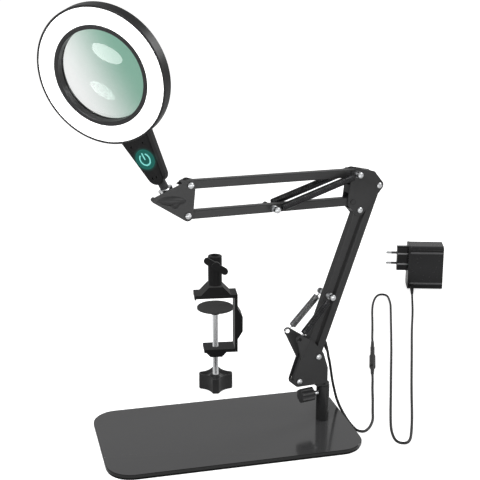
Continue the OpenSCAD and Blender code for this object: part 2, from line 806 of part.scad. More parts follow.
// Round wall profile of the rear shell: outer wall with ledge, back, lens seat and board step
module rear_shell() color(black_satin) ring_frame() difference() {
  union() {
    rotate_extrude($fn = 128) polygon([
      [bezel_in, back_z], [ring_r - 1.5, back_z], [ring_r, back_z + 1.5], [ring_r, front_z - 0.4],
      [ring_r - 0.4, front_z], [ring_r - shell_wall, front_z], [ring_r - shell_wall, diffuser_z],
      [ring_r - shell_wall - ledge_w, diffuser_z], [ring_r - shell_wall - ledge_w, back_z + shell_wall],
      [inner_r + board_seat, back_z + shell_wall], [inner_r + board_seat, board_z],
      [inner_r, board_z], [inner_r, front_z - bezel_t], [seat_r, front_z - bezel_t],
      [seat_r, lens_back_z], [bezel_in, lens_back_z]]);
    difference() {
      translate([0, 0, -handle_t / 2]) linear_extrude(handle_t / 2) handle_outline(0);
      translate([0, 0, -handle_t / 2 + shell_wall]) linear_extrude(handle_t) intersection() {
        handle_outline(shell_wall);
        translate([-handle_w, -handle_end + neck_in + 1])
          square([2 * handle_w, handle_end - ring_r - neck_in - 2]);
      }
      translate([0, 0, back_z - 1]) cylinder(r = ring_r - 1, h = ring_depth + 2, $fn = 128);
    }
    intersection() {
      for (k = [[hole_top_x, hole_top_y], [hole_low_x, hole_low_y]], x = [-1, 1])
        translate([x * k[0], -k[1], -handle_t / 2 + 1])
          cylinder(d = handle_screw_d + 3, h = handle_t / 2 - 1);
      translate([0, 0, -handle_t / 2]) linear_extrude(handle_t / 2) handle_outline(0.5);
    }
  }
  for (x = [-1, 1]) {
    translate([x * hole_top_x, -hole_top_y, -handle_t / 2 + 1.5])
      cylinder(d = handle_screw_d, h = handle_t);
    translate([x * hole_low_x, -hole_low_y, -handle_t / 2 + 1.5])
      cylinder(d = handle_screw_d, h = handle_t);
  }
  translate([0, -handle_end - 1, 0]) rotate([-90, 0, 0]) cylinder(d = neck_d, h = neck_in + 1);
}

// Front half of the handle, with the button's opening and counterbored screw holes
module handle_cover() color(black_satin) ring_frame() difference() {
  translate([0, 0, 0]) union() {
    linear_extrude(handle_t / 2 - 0.8) handle_outline(0);
    linear_extrude(handle_t / 2) handle_outline(0.8);
  }
  translate([0, 0, -1]) linear_extrude(handle_t / 2 - shell_wall + 1) intersection() {
    handle_outline(shell_wall);
    translate([-handle_w, -handle_end + neck_in + 9])
      square([2 * handle_w, handle_end - ring_r - neck_in - 22]);
  }
  translate([0, 0, back_z - 1]) cylinder(r = ring_r + 0.01, h = ring_depth + 2, $fn = 128);
  translate([0, -button_y, -1]) cylinder(d = button_d, h = handle_t);
  for (k = [[hole_top_x, hole_top_y], [hole_low_x, hole_low_y]], x = [-1, 1])
    translate([x * k[0], -k[1], 0]) {
      translate([0, 0, -1]) cylinder(d = handle_screw_d + 0.2, h = handle_t);
      translate([0, 0, handle_t / 2 - 2.5]) cylinder(d = 1.25 * handle_screw_d, h = handle_t);
    }
  translate([0, -handle_end - 1, 0]) rotate([-90, 0, 0]) cylinder(d = neck_d, h = neck_in + 1);
}

module touch_board() color("#1f5a3a") ring_frame()
  translate([0, -button_y, handle_t / 2 - button_t - board_t]) cylinder(d = button_d - 2, h = board_t);

module touch_button() color("#0f8a7d") ring_frame() translate([0, -button_y, handle_t / 2 - button_t]) {
  cylinder(d = button_d, h = button_t - 0.4);
  cylinder(d = button_d - 0.8, h = button_t);
}

module handle_screws() color(bright) ring_frame()
  for (k = [[hole_top_x, hole_top_y], [hole_low_x, hole_low_y]], x = [-1, 1])
    translate([x * k[0], -k[1], 0]) {
      translate([0, 0, -handle_t / 2 + 2.5]) cylinder(d = handle_screw_d, h = handle_t - 5);
      translate([0, 0, handle_t / 2 - 2.5]) cylinder(d = 1.25 * handle_screw_d, h = 1);
    }

module led_board() color("#e6e4d8") ring_frame() translate([0, 0, board_z]) difference() {
  cylinder(r = ring_r - shell_wall - ledge_w - gap, h = board_t, $fn = 128);
  translate([0, 0, -1]) cylinder(r = inner_r + gap, h = board_t + 2, $fn = 128);
}

module diffuser() color("white") ring_frame() translate([0, 0, diffuser_z]) difference() {
  cylinder(r = ring_r - shell_wall - gap / 2, h = diffuser_t, $fn = 128);
  translate([0, 0, -1]) cylinder(r = bezel_out + gap / 2, h = diffuser_t + 2, $fn = 128);
}

// Radius of a face that meets the seat's plane just inside the bezel
lens_face_r = bezel_in - gap;
lens_sphere_r = (lens_face_r ^ 2 + lens_rise ^ 2) / (2 * lens_rise);

// Lens: two shallow round faces on a short rim
module lens() color("#cfe6dc", 0.5) ring_frame() rotate_extrude($fn = 128) intersection() {
  translate([0, lens_back_z - lens_rise]) square([lens_d / 2, lens_edge + 2 * lens_rise]);
  translate([0, lens_front_z + lens_rise - lens_sphere_r]) circle(r = lens_sphere_r, $fn = 720);
  translate([0, lens_back_z - lens_rise + lens_sphere_r]) circle(r = lens_sphere_r, $fn = 720);
}

// Bezel: front flange over the shell's inner wall and a sleeve down to the lens
module lens_bezel() color(black_satin) ring_frame() rotate_extrude($fn = 128) polygon([
  [bezel_in, lens_front_z], [seat_r - gap / 2, lens_front_z], [seat_r - gap / 2, front_z - bezel_t],
  [bezel_out, front_z - bezel_t], [bezel_out, front_z - 0.4], [bezel_out - 0.4, front_z],
  [bezel_in + 0.6, front_z], [bezel_in, front_z - 0.6]]);

// Leads: a tube along hand-chosen points
cord_sides = 8;

function tube_ring(p, i, r, k) =
  let (t = path_tangent(p, i), up = abs(t.z) > 0.9 ? [0, 1, 0] : [0, 0, 1],
    a = unit(cross3(t, up)), b = cross3(t, a))
  [for (j = [0:k - 1]) p[i] + r * (cos(360 * j / k + 22.5) * a + sin(360 * j / k + 22.5) * b)];

module tube(p, d) polyhedron([for (i = [0:len(p) - 1]) each tube_ring(p, i, d / 2, cord_sides)],
  tube_faces(len(p), cord_sides), convexity = 10);

// Point at a share of the way between two points of the connector's line
function on_line(p, k) = [p.x + k * line_dir.x, p.y + k * line_dir.y, plug_d / 2];

lamp_route = [[136.5, 4.5, 94], [141, 12, 82], [145, 17, 67], [149, 22, 51], [153, 27, 38],
  [157, 31.5, 26], [160.5, 34.5, 16], [163.5, 34, 8], [165, 28, 3], [164.5, 18, 2], [163.5, 4, 2],
  [163, -12, 2], [163.5, -26, 2], [166, -35, 2], [171, -38.5, 2], [178, -35, 2], [187, -24, 2],
  [194, -12, 2], [202, 8, 2], [216, 45, 2], [230, 83, 2], [241, 112, 4]];

adaptor_route = [[294, 253, 4], [302, 274, 2], [323, 329, 2], [346, 390, 2], [357, 415, 2],
  [367, 434, 2], [377, 448, 2], [384, 452.5, 2], [390, 451, 2], [393, 443, 2], [391, 430, 2],
  [385, 408, 2], [376, 383, 2], [341, 293, 2], [308, 209, 2], [275, 127, 2], [242, 45, 2],
  [213.5, -27, 2], [207, -46, 2], [203.5, -61, 2], [202.5, -71, 2], [205, -79, 2],
  [211.5, -81.5, 2], [219, -76, 2], [226, -64, 2], [233, -49, 2], [241, -31, 2], [270, 39, 2],
  [305, 123, 2], [340, 206, 2], [375, 289, 2], [410, 370, 2], [424.5, 406, 2.5], [432, 425, 4.2]];

// Strain relief at the foot of the rear lower bar
gland_at = P1 + 18 * dir(lower_slope) + (bar_w / 2) * dir(lower_slope - 90);
gland_root = gland_at + 2.2 * dir(lower_slope - 90);
gland_dir = lower_slope - 139;
gland_len = 10;
gland_end = gland_root + gland_len * dir(gland_dir);

module lead_gland() color(black_soft) arm_frame() {
  translate([gland_root.x, 0, gland_root.y]) rotate([0, 90 - gland_dir, 0])
    cylinder(d1 = cord_d + 2.4, d2 = cord_d + 0.8, h = gland_len);
  translate([gland_at.x, 0, gland_at.y]) rotate([0, 180 - lower_slope, 0])
    cylinder(d = cord_d + 3, h = 2.6);
}

// A point of the arm's plane in the row's frame
function in_row(p) = [post_x + p.x * cos(arm_yaw), p.x * sin(arm_yaw), p.y];

// A route on the table, moved along with the base's right end
function along(route) = [for (p = route) p + [lead_x, 0, 0]];

// Start of the lamp's lead, square to the strain relief's end
lead_gap = 0.1;
lead_start = [for (k = [lead_gap, 3.5]) in_row(gland_end + k * dir(gland_dir))];

module lamp_lead() color(black_soft)
  tube(concat(lead_start, along(lamp_route), [on_line(socket_from, 0)]), cord_d);
module adaptor_lead() color(black_soft)
  tube(concat([on_line(plug_to, 0)], along(adaptor_route), [relief_end]), cord_d);

// In-line connector lying on the table: local Z along the lead
module on_lead(p) translate([p.x, p.y, plug_d / 2])
  rotate([0, 90, atan2(line_dir.y, line_dir.x)]) children();

module lead_socket() color(black_soft) on_lead(socket_from) rotate_extrude() polygon([
  [0, 0], [cord_d / 2 + 0.5, 0], [cord_d / 2 + 1.2, relief_in - 2], [plug_d / 2 - 0.8, relief_in],
  [plug_d / 2, relief_in + 2], [plug_d / 2, socket_len - 1], [plug_d / 2 - 1, socket_len],
  [0, socket_len]]);

module lead_plug() color(black_soft) on_lead(socket_to) rotate_extrude() polygon([
  [0, 0], [plug_d / 2 - 1.3, 0], [plug_d / 2 - 1.3, plug_step - 2], [cord_d / 2 + 0.9, plug_step],
  [cord_d / 2 + 0.5, plug_len], [0, plug_len]]);

// Adaptor: rounded case standing on its narrow side, plug block and pins on the left
module adaptor_case() color(black_gloss) adaptor_frame() difference() {
  translate([-adaptor_w / 2, 0, adaptor_h / 2]) rotate([0, 90, 0])
    linear_extrude(adaptor_w) rounded_box_2d(adaptor_h, adaptor_d, adaptor_r);
  for (z = [10, adaptor_h - 12]) translate([-adaptor_w / 2 - 1, -adaptor_d / 2 - 1, z])
    cube([adaptor_w + 2, 1.6, 2]);
}

plug_z = adaptor_h - 4 - adaptor_plug_h / 2;

module adaptor_plug() color(black_gloss) adaptor_frame() difference() {
  translate([-adaptor_w / 2 - adaptor_plug_w, 0, plug_z]) rotate([0, 90, 0])
    linear_extrude(adaptor_plug_w) rounded_box_2d(adaptor_plug_h, 14, 4);
  for (k = [-1, 1]) translate([-adaptor_w / 2 - adaptor_plug_w - 1, 0, plug_z + k * pin_pitch / 2])
    rotate([0, 90, 0]) cylinder(d = mains_pin_d, h = 7);
}

module mains_pins() color(bright) adaptor_frame() for (k = [-1, 1])
  translate([-adaptor_w / 2 - adaptor_plug_w - mains_pin_len, 0, plug_z + k * pin_pitch / 2])
    rotate([0, 90, 0]) {
      translate([0, 0, mains_pin_d / 2])
        cylinder(d = mains_pin_d, h = mains_pin_len + 6 - mains_pin_d / 2);
      translate([0, 0, mains_pin_d / 2]) sphere(d = mains_pin_d);
    }

// Strain relief of the adaptor, turned a little to the left
relief_yaw = -5;
relief_sunk = 0.4;
relief_dir = adaptor_yaw + relief_yaw;

module adaptor_relief() color(black_soft) adaptor_frame()
  translate([relief_x - adaptor_w / 2, relief_sunk - adaptor_d / 2, relief_z])
    rotate([0, 0, relief_yaw]) rotate([90, 0, 0])
      cylinder(d1 = cord_d + 4, d2 = cord_d + 1.2, h = relief_len);

relief_end = [adaptor_at.x + (relief_x - adaptor_w / 2) * cos(adaptor_yaw)
    + (adaptor_d / 2 - relief_sunk) * sin(adaptor_yaw) + relief_len * sin(relief_dir),
  adaptor_at.y + (relief_x - adaptor_w / 2) * sin(adaptor_yaw)
    - (adaptor_d / 2 - relief_sunk) * cos(adaptor_yaw) - relief_len * cos(relief_dir), relief_z];

// Table clamp
module clamp_column() color(black_satin) clamp_at() translate([0, 0, column_z]) difference() {
  union() {
    cylinder(d = column_od, h = column_h - 0.8);
    cylinder(d = column_od - 1.6, h = column_h);
  }
  translate([0, 0, 3]) cylinder(d = column_bore, h = column_h);
  translate([0, 0, wing_z - column_z]) rotate([90, 0, 0])
    cylinder(d = thumb_stud_d + 2 * run_fit, h = column_od);
}

// C-shaped casting: jaws, back with an outer rib, gusset under the column and nut boss
back_t = 4;
rib_out = 7;

module clamp_profile() {
  x0 = -jaw_reach;
  x1 = back_reach;
  translate([x0, jaw_up_z]) square([x1 - x0, jaw_t]);
  translate([x0, jaw_up_z - 1.5]) square([2, 2]);
  translate([x1 - back_t, jaw_low_z]) square([back_t, jaw_up_z + jaw_t - jaw_low_z]);
  translate([-0.57 * jaw_reach, jaw_low_z]) square([x1 + 0.57 * jaw_reach, jaw_t]);
  polygon([[-20.5, gusset_z], [20.5, gusset_z], [column_od / 2, gusset_z + gusset_h],
    [-column_od / 2, gusset_z + gusset_h]]);
  polygon([[-14, jaw_low_z], [-8, boss_z], [8, boss_z], [14, jaw_low_z]]);
  polygon([[x1, jaw_low_z + 18], [x1 + rib_out, jaw_low_z + 30], [x1 + rib_out, jaw_up_z - 28],
    [x1, jaw_up_z - 16]]);
}

module clamp_frame() color(black_satin) clamp_at() difference() {
  translate([0, clamp_depth / 2, 0]) rotate([90, 0, 0]) linear_extrude(clamp_depth) clamp_profile();
  translate([0, 0, boss_z - 1]) cylinder(d = clamp_screw_d + 2 * run_fit, h = boss_h + jaw_t + 2);
}

module wing_screw() color(black_satin) clamp_at() translate([0, 0, wing_z]) rotate([90, 0, 0]) {
  translate([0, 0, column_bore / 2 + gap])
    cylinder(d = thumb_stud_d, h = column_od / 2 - column_bore / 2 + 4);
  translate([0, 0, column_od / 2 + 2]) cylinder(d = 12, h = 7);
  translate([0, 0, column_od / 2 + 4]) rotate([0, 0, -33]) linear_extrude(4)
    wrap([[[4.5 - wing_span / 2, 0], 4.5], [[wing_span / 2 - 4.5, 0], 4.5]]);
}

module clamp_screw() color("#d8dadd") clamp_at()
  translate([0, 0, star_h - 14])
    cylinder(d = clamp_screw_d, h = clamp_pad_z - star_h + 14 - gap + clamp_pad_t / 2);

// Star knob: a cup with four lobes and hollow sides, and a conical hub for the screw
star_wall = 1.8;
star_dish = 5;

module star_outline(inset) difference() {
  circle(d = star_d - 2 * inset);
  for (i = [0:3]) rotate(90 * i + 40) translate([0.884 * star_d, 0])
    circle(r = 0.547 * star_d + inset);
}

module star_knob() color(black_satin) clamp_at() difference() {
  linear_extrude(star_h) star_outline(0);
  translate([0, 0, star_h - star_dish]) difference() {
    linear_extrude(star_dish + 1) star_outline(star_wall);
    translate([0, 0, -1]) cylinder(d1 = clamp_screw_d + 14, d2 = clamp_screw_d + 5, h = star_dish - 0.5);
  }
  translate([0, 0, star_h - 14]) cylinder(d = clamp_screw_d, h = 20);
}

module clamp_pad() color(black_soft) clamp_at() difference() {
  union() {
    translate([0, 0, clamp_pad_z]) cylinder(d = clamp_pad_d, h = clamp_pad_t - 0.5);
    translate([0, 0, clamp_pad_z]) cylinder(d = clamp_pad_d - 1, h = clamp_pad_t);
    translate([0, 0, clamp_pad_z - pad_hub_h]) cylinder(d = clamp_screw_d + 5, h = pad_hub_h);
  }
  translate([0, 0, clamp_pad_z - pad_hub_h - 1])
    cylinder(d = clamp_screw_d + 2 * run_fit, h = pad_hub_h + 1 + clamp_pad_t / 2);
}

base_pad();
base_plate();
post();
post_screw();
thumb_stud();
thumb_knob();
base_bracket();
swivel_pin();
base_pivots();
base_pivot_nuts();
lower_rear_bar();
lower_rear_bushes();
lower_front_bar();
lower_front_bushes();
lower_spring_pin();
lower_springs();
elbow_bracket();
elbow_pivots();
elbow_bolt();
elbow_nuts();
upper_top_bar();
upper_top_bushes();
upper_bottom_bar();
upper_bottom_bushes();
upper_spring_pin();
upper_springs();
head_bracket();
head_pivots();
head_pivot_nuts();
nose_spacer();
ball_stud();
neck_collar();
neck_rod();
rear_shell();
led_board();
diffuser();
lens();
lens_bezel();
handle_cover();
touch_board();
touch_button();
handle_screws();
lead_gland();
lamp_lead();
lead_socket();
lead_plug();
adaptor_lead();
adaptor_relief();
adaptor_case();
adaptor_plug();
mains_pins();
clamp_column();
clamp_frame();
wing_screw();
clamp_screw();
star_knob();
clamp_pad();
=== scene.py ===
import json
import math

import bmesh
import bpy
import numpy as np
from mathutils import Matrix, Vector


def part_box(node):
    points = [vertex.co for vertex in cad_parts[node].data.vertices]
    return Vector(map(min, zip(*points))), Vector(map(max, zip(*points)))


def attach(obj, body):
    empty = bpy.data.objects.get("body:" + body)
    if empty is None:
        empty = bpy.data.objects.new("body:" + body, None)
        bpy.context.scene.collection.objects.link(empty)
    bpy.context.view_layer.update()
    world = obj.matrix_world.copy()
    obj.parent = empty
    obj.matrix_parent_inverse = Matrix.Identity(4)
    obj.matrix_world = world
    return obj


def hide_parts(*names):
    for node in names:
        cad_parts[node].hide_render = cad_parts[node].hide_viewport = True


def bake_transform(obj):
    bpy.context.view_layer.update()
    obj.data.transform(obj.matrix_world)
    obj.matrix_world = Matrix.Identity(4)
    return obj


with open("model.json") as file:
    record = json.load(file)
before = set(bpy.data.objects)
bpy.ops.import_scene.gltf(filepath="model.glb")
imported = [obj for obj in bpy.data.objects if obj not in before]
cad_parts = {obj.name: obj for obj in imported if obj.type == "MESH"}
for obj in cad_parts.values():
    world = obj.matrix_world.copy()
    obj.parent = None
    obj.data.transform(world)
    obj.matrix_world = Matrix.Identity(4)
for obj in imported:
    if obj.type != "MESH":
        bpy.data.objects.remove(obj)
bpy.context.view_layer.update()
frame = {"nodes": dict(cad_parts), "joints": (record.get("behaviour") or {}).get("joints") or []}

bl_info = {
    "name": "Ring-light magnifier",
    "version": (1, 0, 0),
    "blender": (4, 5, 0),
    "location": "View3D > Sidebar > Magnifier",
    "description": "Finishes, springs, leads and small fittings of a ring-light magnifier",
    "category": "Object",
}

MM = 0.001


# Frames of the lamp, in millimetres: places from the frame, angles as in the solid model

def turned(axis, degrees):
    """4 x 4 turn about a main axis: cosine and sine in the plane of the other two."""
    a = math.radians(degrees)
    i, j = [(1, 2), (2, 0), (0, 1)]["xyz".index(axis)]
    m = np.eye(4)
    m[i, i] = m[j, j] = math.cos(a)
    m[j, i] = math.sin(a)
    m[i, j] = -math.sin(a)
    return m


def moved(x, y, z):
    """4 x 4 shift."""
    m = np.eye(4)
    m[:3, 3] = x, y, z
    return m


JOINTS = {joint["name"]: joint for joint in frame["joints"]}


def anchor(joint):
    """Place of a joint."""
    return np.array(JOINTS[joint]["pos_m"]) / MM


def bearing(joint):
    """Turn about Z of the frame whose -Y is a joint's level axis: atan2(x, -y)."""
    x, y, _ = JOINTS[joint]["axis"]
    return math.degrees(math.atan2(x, -y))


def middle(node):
    """Middle of a node's box."""
    return np.mean(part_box(node), axis=0) / MM


# Angles of the head against the arm, reach from its ball to the middle of the ring, and
# turn of the adaptor
HEAD_LEAN, HEAD_SIDE, HEAD_TURN = -24.75, -10.4, -50.75
HEAD_REACH = 163.3
ADAPTOR_YAW = -17
ARM = moved(*anchor("swivel")[:2], 0) @ turned("z", bearing("lower_fold"))
HEAD = (moved(*anchor("head_tilt")) @ turned("z", bearing("head_tilt"))
        @ turned("y", HEAD_LEAN) @ turned("x", HEAD_SIDE) @ turned("z", HEAD_TURN))
RING = HEAD @ moved(0, 0, HEAD_REACH) @ turned("x", 90)
CLAMP = moved(*anchor("spindle_turn")) @ turned("z", bearing("wing_turn"))
ADAPTOR = moved(*middle("adaptor_case")[:2], 0) @ turned("z", ADAPTOR_YAW)
# Adaptor's case, which stands on the floor, and the radius of its long edges
CASE_WIDE, CASE_DEEP, CASE_HIGH, CASE_EDGE = 61, 40, 78, 6
# Middle of the touch button's face, in the ring's frame
BUTTON = (0, -103.94, 7.0)


def placed(points, place):
    """Points in millimetres in a frame, as metres in the row frame."""
    p = np.asarray(points, float)
    return (p @ place[:3, :3].T + place[:3, 3]) * MM


# Surfaces

def unit(v):
    """Each row divided by its length."""
    return v / np.linalg.norm(v, axis=-1, keepdims=True)


def grid_piece(name, points, wrap_rows=False, wrap_round=True, capped=True, crease=32):
    """Mesh of a grid of points: row i, place j, quads between neighbours.
    Open ends of a wrapped grid get a flat cap. The sign of the enclosed volume,
    the sum of a . (b x c) over triangles, says which way the faces turn."""
    n, m = points.shape[:2]
    i = np.arange(n if wrap_rows else n - 1)[:, None]
    j = np.arange(m if wrap_round else m - 1)[None, :]
    a, b = i * m + j, i * m + (j + 1) % m
    c, d = ((i + 1) % n) * m + (j + 1) % m, ((i + 1) % n) * m + j
    quads = np.stack([a, b, c, d], -1).reshape(-1, 4)
    v = points.reshape(-1, 3)
    o = v - v.mean(0)
    t1 = np.einsum("ij,ij->i", o[quads[:, 0]], np.cross(o[quads[:, 1]], o[quads[:, 2]]))
    t2 = np.einsum("ij,ij->i", o[quads[:, 0]], np.cross(o[quads[:, 2]], o[quads[:, 3]]))
    flip = (t1.sum() + t2.sum()) < 0
    faces = (quads[:, ::-1] if flip else quads).tolist()
    if capped and wrap_round and not wrap_rows:
        first, last = np.arange(m)[::-1], np.arange((n - 1) * m, n * m)
        faces += [(first[::-1] if flip else first).tolist(),
                  (last[::-1] if flip else last).tolist()]
    mesh = bpy.data.meshes.new(name)
    mesh.from_pydata(v.tolist(), [], faces)
    return mesh_piece(name, mesh, crease)


def mesh_piece(name, mesh, crease=32):
    """Object of a mesh: doubles merged, faces smooth, edges sharp past the crease angle."""
    bm = bmesh.new()
    bm.from_mesh(mesh)
    bmesh.ops.remove_doubles(bm, verts=bm.verts, dist=2e-6)
    bmesh.ops.dissolve_degenerate(bm, edges=bm.edges, dist=1e-6)
    bm.to_mesh(mesh)
    bm.free()
    mesh.polygons.foreach_set("use_smooth", np.ones(len(mesh.polygons), bool))
    mesh.set_sharp_from_angle(angle=math.radians(crease))
    mesh.validate()
    piece = bpy.data.objects.new(name, mesh)
    bpy.context.scene.collection.objects.link(piece)
    return piece


def tube(path, radius, sides):
    """Grid of a round tube: path + r (cos a, sin a) in the plane square to the path.
    Side vectors start as the axis least along the path; the twist between neighbours,
    measured after the least turn that takes one tangent to the next, is summed and
    taken out again, so the tube doesn't wind."""
    t = np.gradient(path, axis=0)
    t[0], t[-1] = path[1] - path[0], path[-1] - path[-2]
    t = unit(t)
    axis = np.eye(3)[np.abs(t).argmin(1)]
    a = unit(axis - (axis * t).sum(1, keepdims=True) * t)
    s, u = t[:-1], t[1:]
    carried = a[:-1] - ((u * a[:-1]).sum(1) / (1 + (s * u).sum(1)))[:, None] * (s + u)
    step = np.arctan2((np.cross(carried, a[1:]) * u).sum(1), (carried * a[1:]).sum(1))
    twist = -np.concatenate([[0], np.cumsum(step)])
    angle = twist[:, None] + np.linspace(0, 2 * np.pi, sides, endpoint=False)
    r = np.broadcast_to(np.asarray(radius, float), (len(path),))[:, None, None]
    b = np.cross(t, a)
    return path[:, None] + r * (np.cos(angle)[..., None] * a[:, None]
                                + np.sin(angle)[..., None] * b[:, None])


def lathe(profile, steps, place):
    """Grid of a turned piece: each profile point (r, z) carried round the Z axis."""
    p = np.asarray(profile, float)
    a = np.linspace(0, 2 * np.pi, steps, endpoint=False)
    x = p[:, :1] * np.cos(a)
    y = p[:, :1] * np.sin(a)
    z = np.repeat(p[:, 1:], steps, 1)
    return placed(np.stack([x, y, z], -1), place)


def rounded(points, radius, steps=5):
    """Line of points whose inner corners are arcs: a quadratic curve between the two
    points that lie a radius from each corner, or half the shorter side."""
    p = np.asarray(points, float)
    r = np.broadcast_to(np.asarray(radius, float), (len(p) - 2,))
    before, after = p[:-2] - p[1:-1], p[2:] - p[1:-1]
    lb, la = np.linalg.norm(before, axis=1), np.linalg.norm(after, axis=1)
    cut = np.minimum(r, 0.49 * np.minimum(lb, la))[:, None]
    a = p[1:-1] + before / lb[:, None] * cut
    c = p[1:-1] + after / la[:, None] * cut
    u = np.linspace(0, 1, steps)[:, None, None]
    arcs = (1 - u) ** 2 * a + 2 * u * (1 - u) * p[1:-1] + u ** 2 * c
    return np.concatenate([p[:1], arcs.transpose(1, 0, 2).reshape(-1, p.shape[1]), p[-1:]])


def smooth_line(points, spacing):
    """Natural cubic spline through the points, its second slopes solved from the usual
    three-term equations on chord length, taken at even steps of about the spacing."""
    p = np.asarray(points, float)
    h = np.linalg.norm(np.diff(p, axis=0), axis=1)
    n = len(p)
    m, rhs = np.eye(n), np.zeros((n, 3))
    k = np.arange(1, n - 1)
    m[k, k - 1], m[k, k], m[k, k + 1] = h[:-1], 2 * (h[:-1] + h[1:]), h[1:]
    slope = np.diff(p, axis=0) / h[:, None]
    rhs[1:-1] = 6 * np.diff(slope, axis=0)
    s2 = np.linalg.solve(m, rhs)
    knots = np.concatenate([[0], np.cumsum(h)])

    def at(x):
        i = np.clip(np.searchsorted(knots, x, side="right") - 1, 0, n - 2)
        w, g = (x - knots[i])[:, None], h[i][:, None]
        return (p[i] + w * (slope[i] - g / 6 * (2 * s2[i] + s2[i + 1]))
                + w ** 2 * s2[i] / 2 + w ** 3 * (s2[i + 1] - s2[i]) / (6 * g))

    fine = at(np.linspace(0, knots[-1], 6000))
    run = np.concatenate([[0], np.cumsum(np.linalg.norm(np.diff(fine, axis=0), axis=1))])
    want = np.linspace(0, run[-1], max(int(run[-1] / spacing), 8) + 1)
    return np.stack([np.interp(want, run, fine[:, c]) for c in range(3)], 1)


# Finishes

FINISH = {}


class NodeSheet:
    """Node tree with short ways to add nodes and to feed their inputs."""

    def __init__(self, tree):
        self.nodes, self.links = tree.nodes, tree.links

    def feed(self, socket, value):
        """Links a socket to an output, or sets its own value."""
        if isinstance(value, bpy.types.NodeSocket):
            self.links.new(value, socket)
        else:
            socket.default_value = value

    def add(self, kind, inputs=None, **values):
        """New node with its settings, and then its inputs by name or number."""
        node = self.nodes.new(kind)
        for key, value in values.items():
            setattr(node, key, value)
        for key, value in (inputs or {}).items():
            self.feed(node.inputs[key], value)
        return node

    def height(self, direction):
        """Z of a place or a direction."""
        return self.add("ShaderNodeSeparateXYZ", {0: direction}).outputs["Z"]

    def clear_view(self, path):
        """1 for what is seen directly or through glass: the larger of the two rays' flags."""
        flags = {0: path.outputs["Is Camera Ray"], 1: path.outputs["Is Transmission Ray"]}
        return self.add("ShaderNodeMath", flags, operation="MAXIMUM").outputs[0]

    def ramp(self, value, stops, colour=(1, 1, 1), kind="LINEAR"):
        """Ramp of a value. Each stop is a place and the level that scales the colour there."""
        node = self.add("ShaderNodeValToRGB", {"Fac": value})
        node.color_ramp.interpolation = kind
        made = node.color_ramp.elements
        while len(made) < len(stops):
            made.new(0.5)
        for stop, (place, level) in zip(made, stops):
            stop.position = place
            stop.color = (*(level * v for v in colour), 1)
        return node.outputs["Color"]


class Sheet(NodeSheet):
    """Node tree of one finish, which is kept in FINISH under its name."""

    def __init__(self, name):
        material = bpy.data.materials.new(name)
        material.use_nodes = True
        super().__init__(material.node_tree)
        self.shader = self.nodes["Principled BSDF"]
        self.place = self.add("ShaderNodeTexCoord").outputs["Object"]
        FINISH[name] = material

    def put(self, socket, value):
        self.feed(self.shader.inputs[socket], value)

    def stretched(self, scale):
        values = {"Vector": self.place, "Scale": scale}
        return self.add("ShaderNodeMapping", values).outputs["Vector"]

    def noise(self, scale, detail=2.0, rough=0.5, place=None):
        values = {"Vector": place or self.place, "Scale": scale, "Detail": detail,
                  "Roughness": rough}
        return self.add("ShaderNodeTexNoise", values).outputs["Fac"]

    def ranged(self, value, low, high, from_low=0.3, from_high=0.7, kind="LINEAR"):
        values = {"Value": value, "From Min": from_low, "From Max": from_high, "To Min": low,
                  "To Max": high}
        return self.add("ShaderNodeMapRange", values,
                        interpolation_type=kind).outputs["Result"]

    def toned(self, value, dark, light):
        values = {"Factor": value, "A": (*dark, 1), "B": (*light, 1)}
        return self.add("ShaderNodeMix", values, data_type="RGBA").outputs["Result"]

    def vector(self, operation, a, b=None):
        values = {0: a} if b is None else {0: a, 1: b}
        return self.add("ShaderNodeVectorMath", values, operation=operation)

    def bumped(self, height, depth, strength):
        values = {"Strength": strength, "Distance": depth, "Height": height}
        self.put("Normal", self.add("ShaderNodeBump", values).outputs["Normal"])


def tones(colour, spread):
    """A colour made darker and lighter by a share."""
    c = np.array(colour[:3])
    return tuple(c * (1 - spread)), tuple(np.minimum(c * (1 + spread), 1))


def shaded(colour, share):
    """A colour times a share."""
    return [share * v for v in colour]


def grained(name, colour, roughness, grain, depth, metallic=0.0, spread=0.12,
            stretch=None, patch=9.0, strength=0.35, specular=0.5, glow=None, centre=None):
    """Finish with a fine grain in bump, and broad soft patches in tone and roughness; where a
    glow is given, light painted in rings about its centre.
    """
    s = Sheet(name)
    if glow:
        glow_rings(s, glow, centre)
    place = s.stretched(stretch) if stretch else s.place
    fine = s.noise(grain, 3.0, 0.55, place)
    broad = s.noise(patch, 3.0, 0.6)
    s.put("Base Color", s.toned(s.ranged(broad, 0, 1), *tones(colour, spread)))
    s.put("Roughness", s.ranged(fine, roughness * 0.86, min(roughness * 1.16, 1)))
    s.put("Metallic", metallic)
    s.put("Specular IOR Level", specular)
    s.bumped(fine, depth, strength)


def glowing(name, colour, glow, strength, roughness):
    """Lit plastic: a pale body with a soft cloud in its roughness, and its own light."""
    s = Sheet(name)
    cloud = s.noise(60, 2.0)
    s.put("Base Color", s.toned(s.ranged(cloud, 0, 1), *tones(colour, 0.03)))
    s.put("Roughness", s.ranged(cloud, roughness * 0.9, roughness * 1.1))
    s.put("Emission Color", (*glow, 1))
    s.put("Emission Strength", strength)


def plate_paint(name, colour, side):
    """Gloss paint, with painted shade on upright faces: the tone follows the normal's Z."""
    s = Sheet(name)
    level = s.height(s.add("ShaderNodeNewGeometry").outputs["Normal"])
    s.put("Base Color", s.toned(s.ranged(level, 0, 1, 0.3, 0.8), side, colour))
    fine = s.noise(90, 3.0, 0.55)
    s.put("Roughness", s.ranged(fine, 0.11, 0.15))
    s.put("Specular IOR Level", 0.5)
    s.bumped(fine, 0.00003, 0.04)


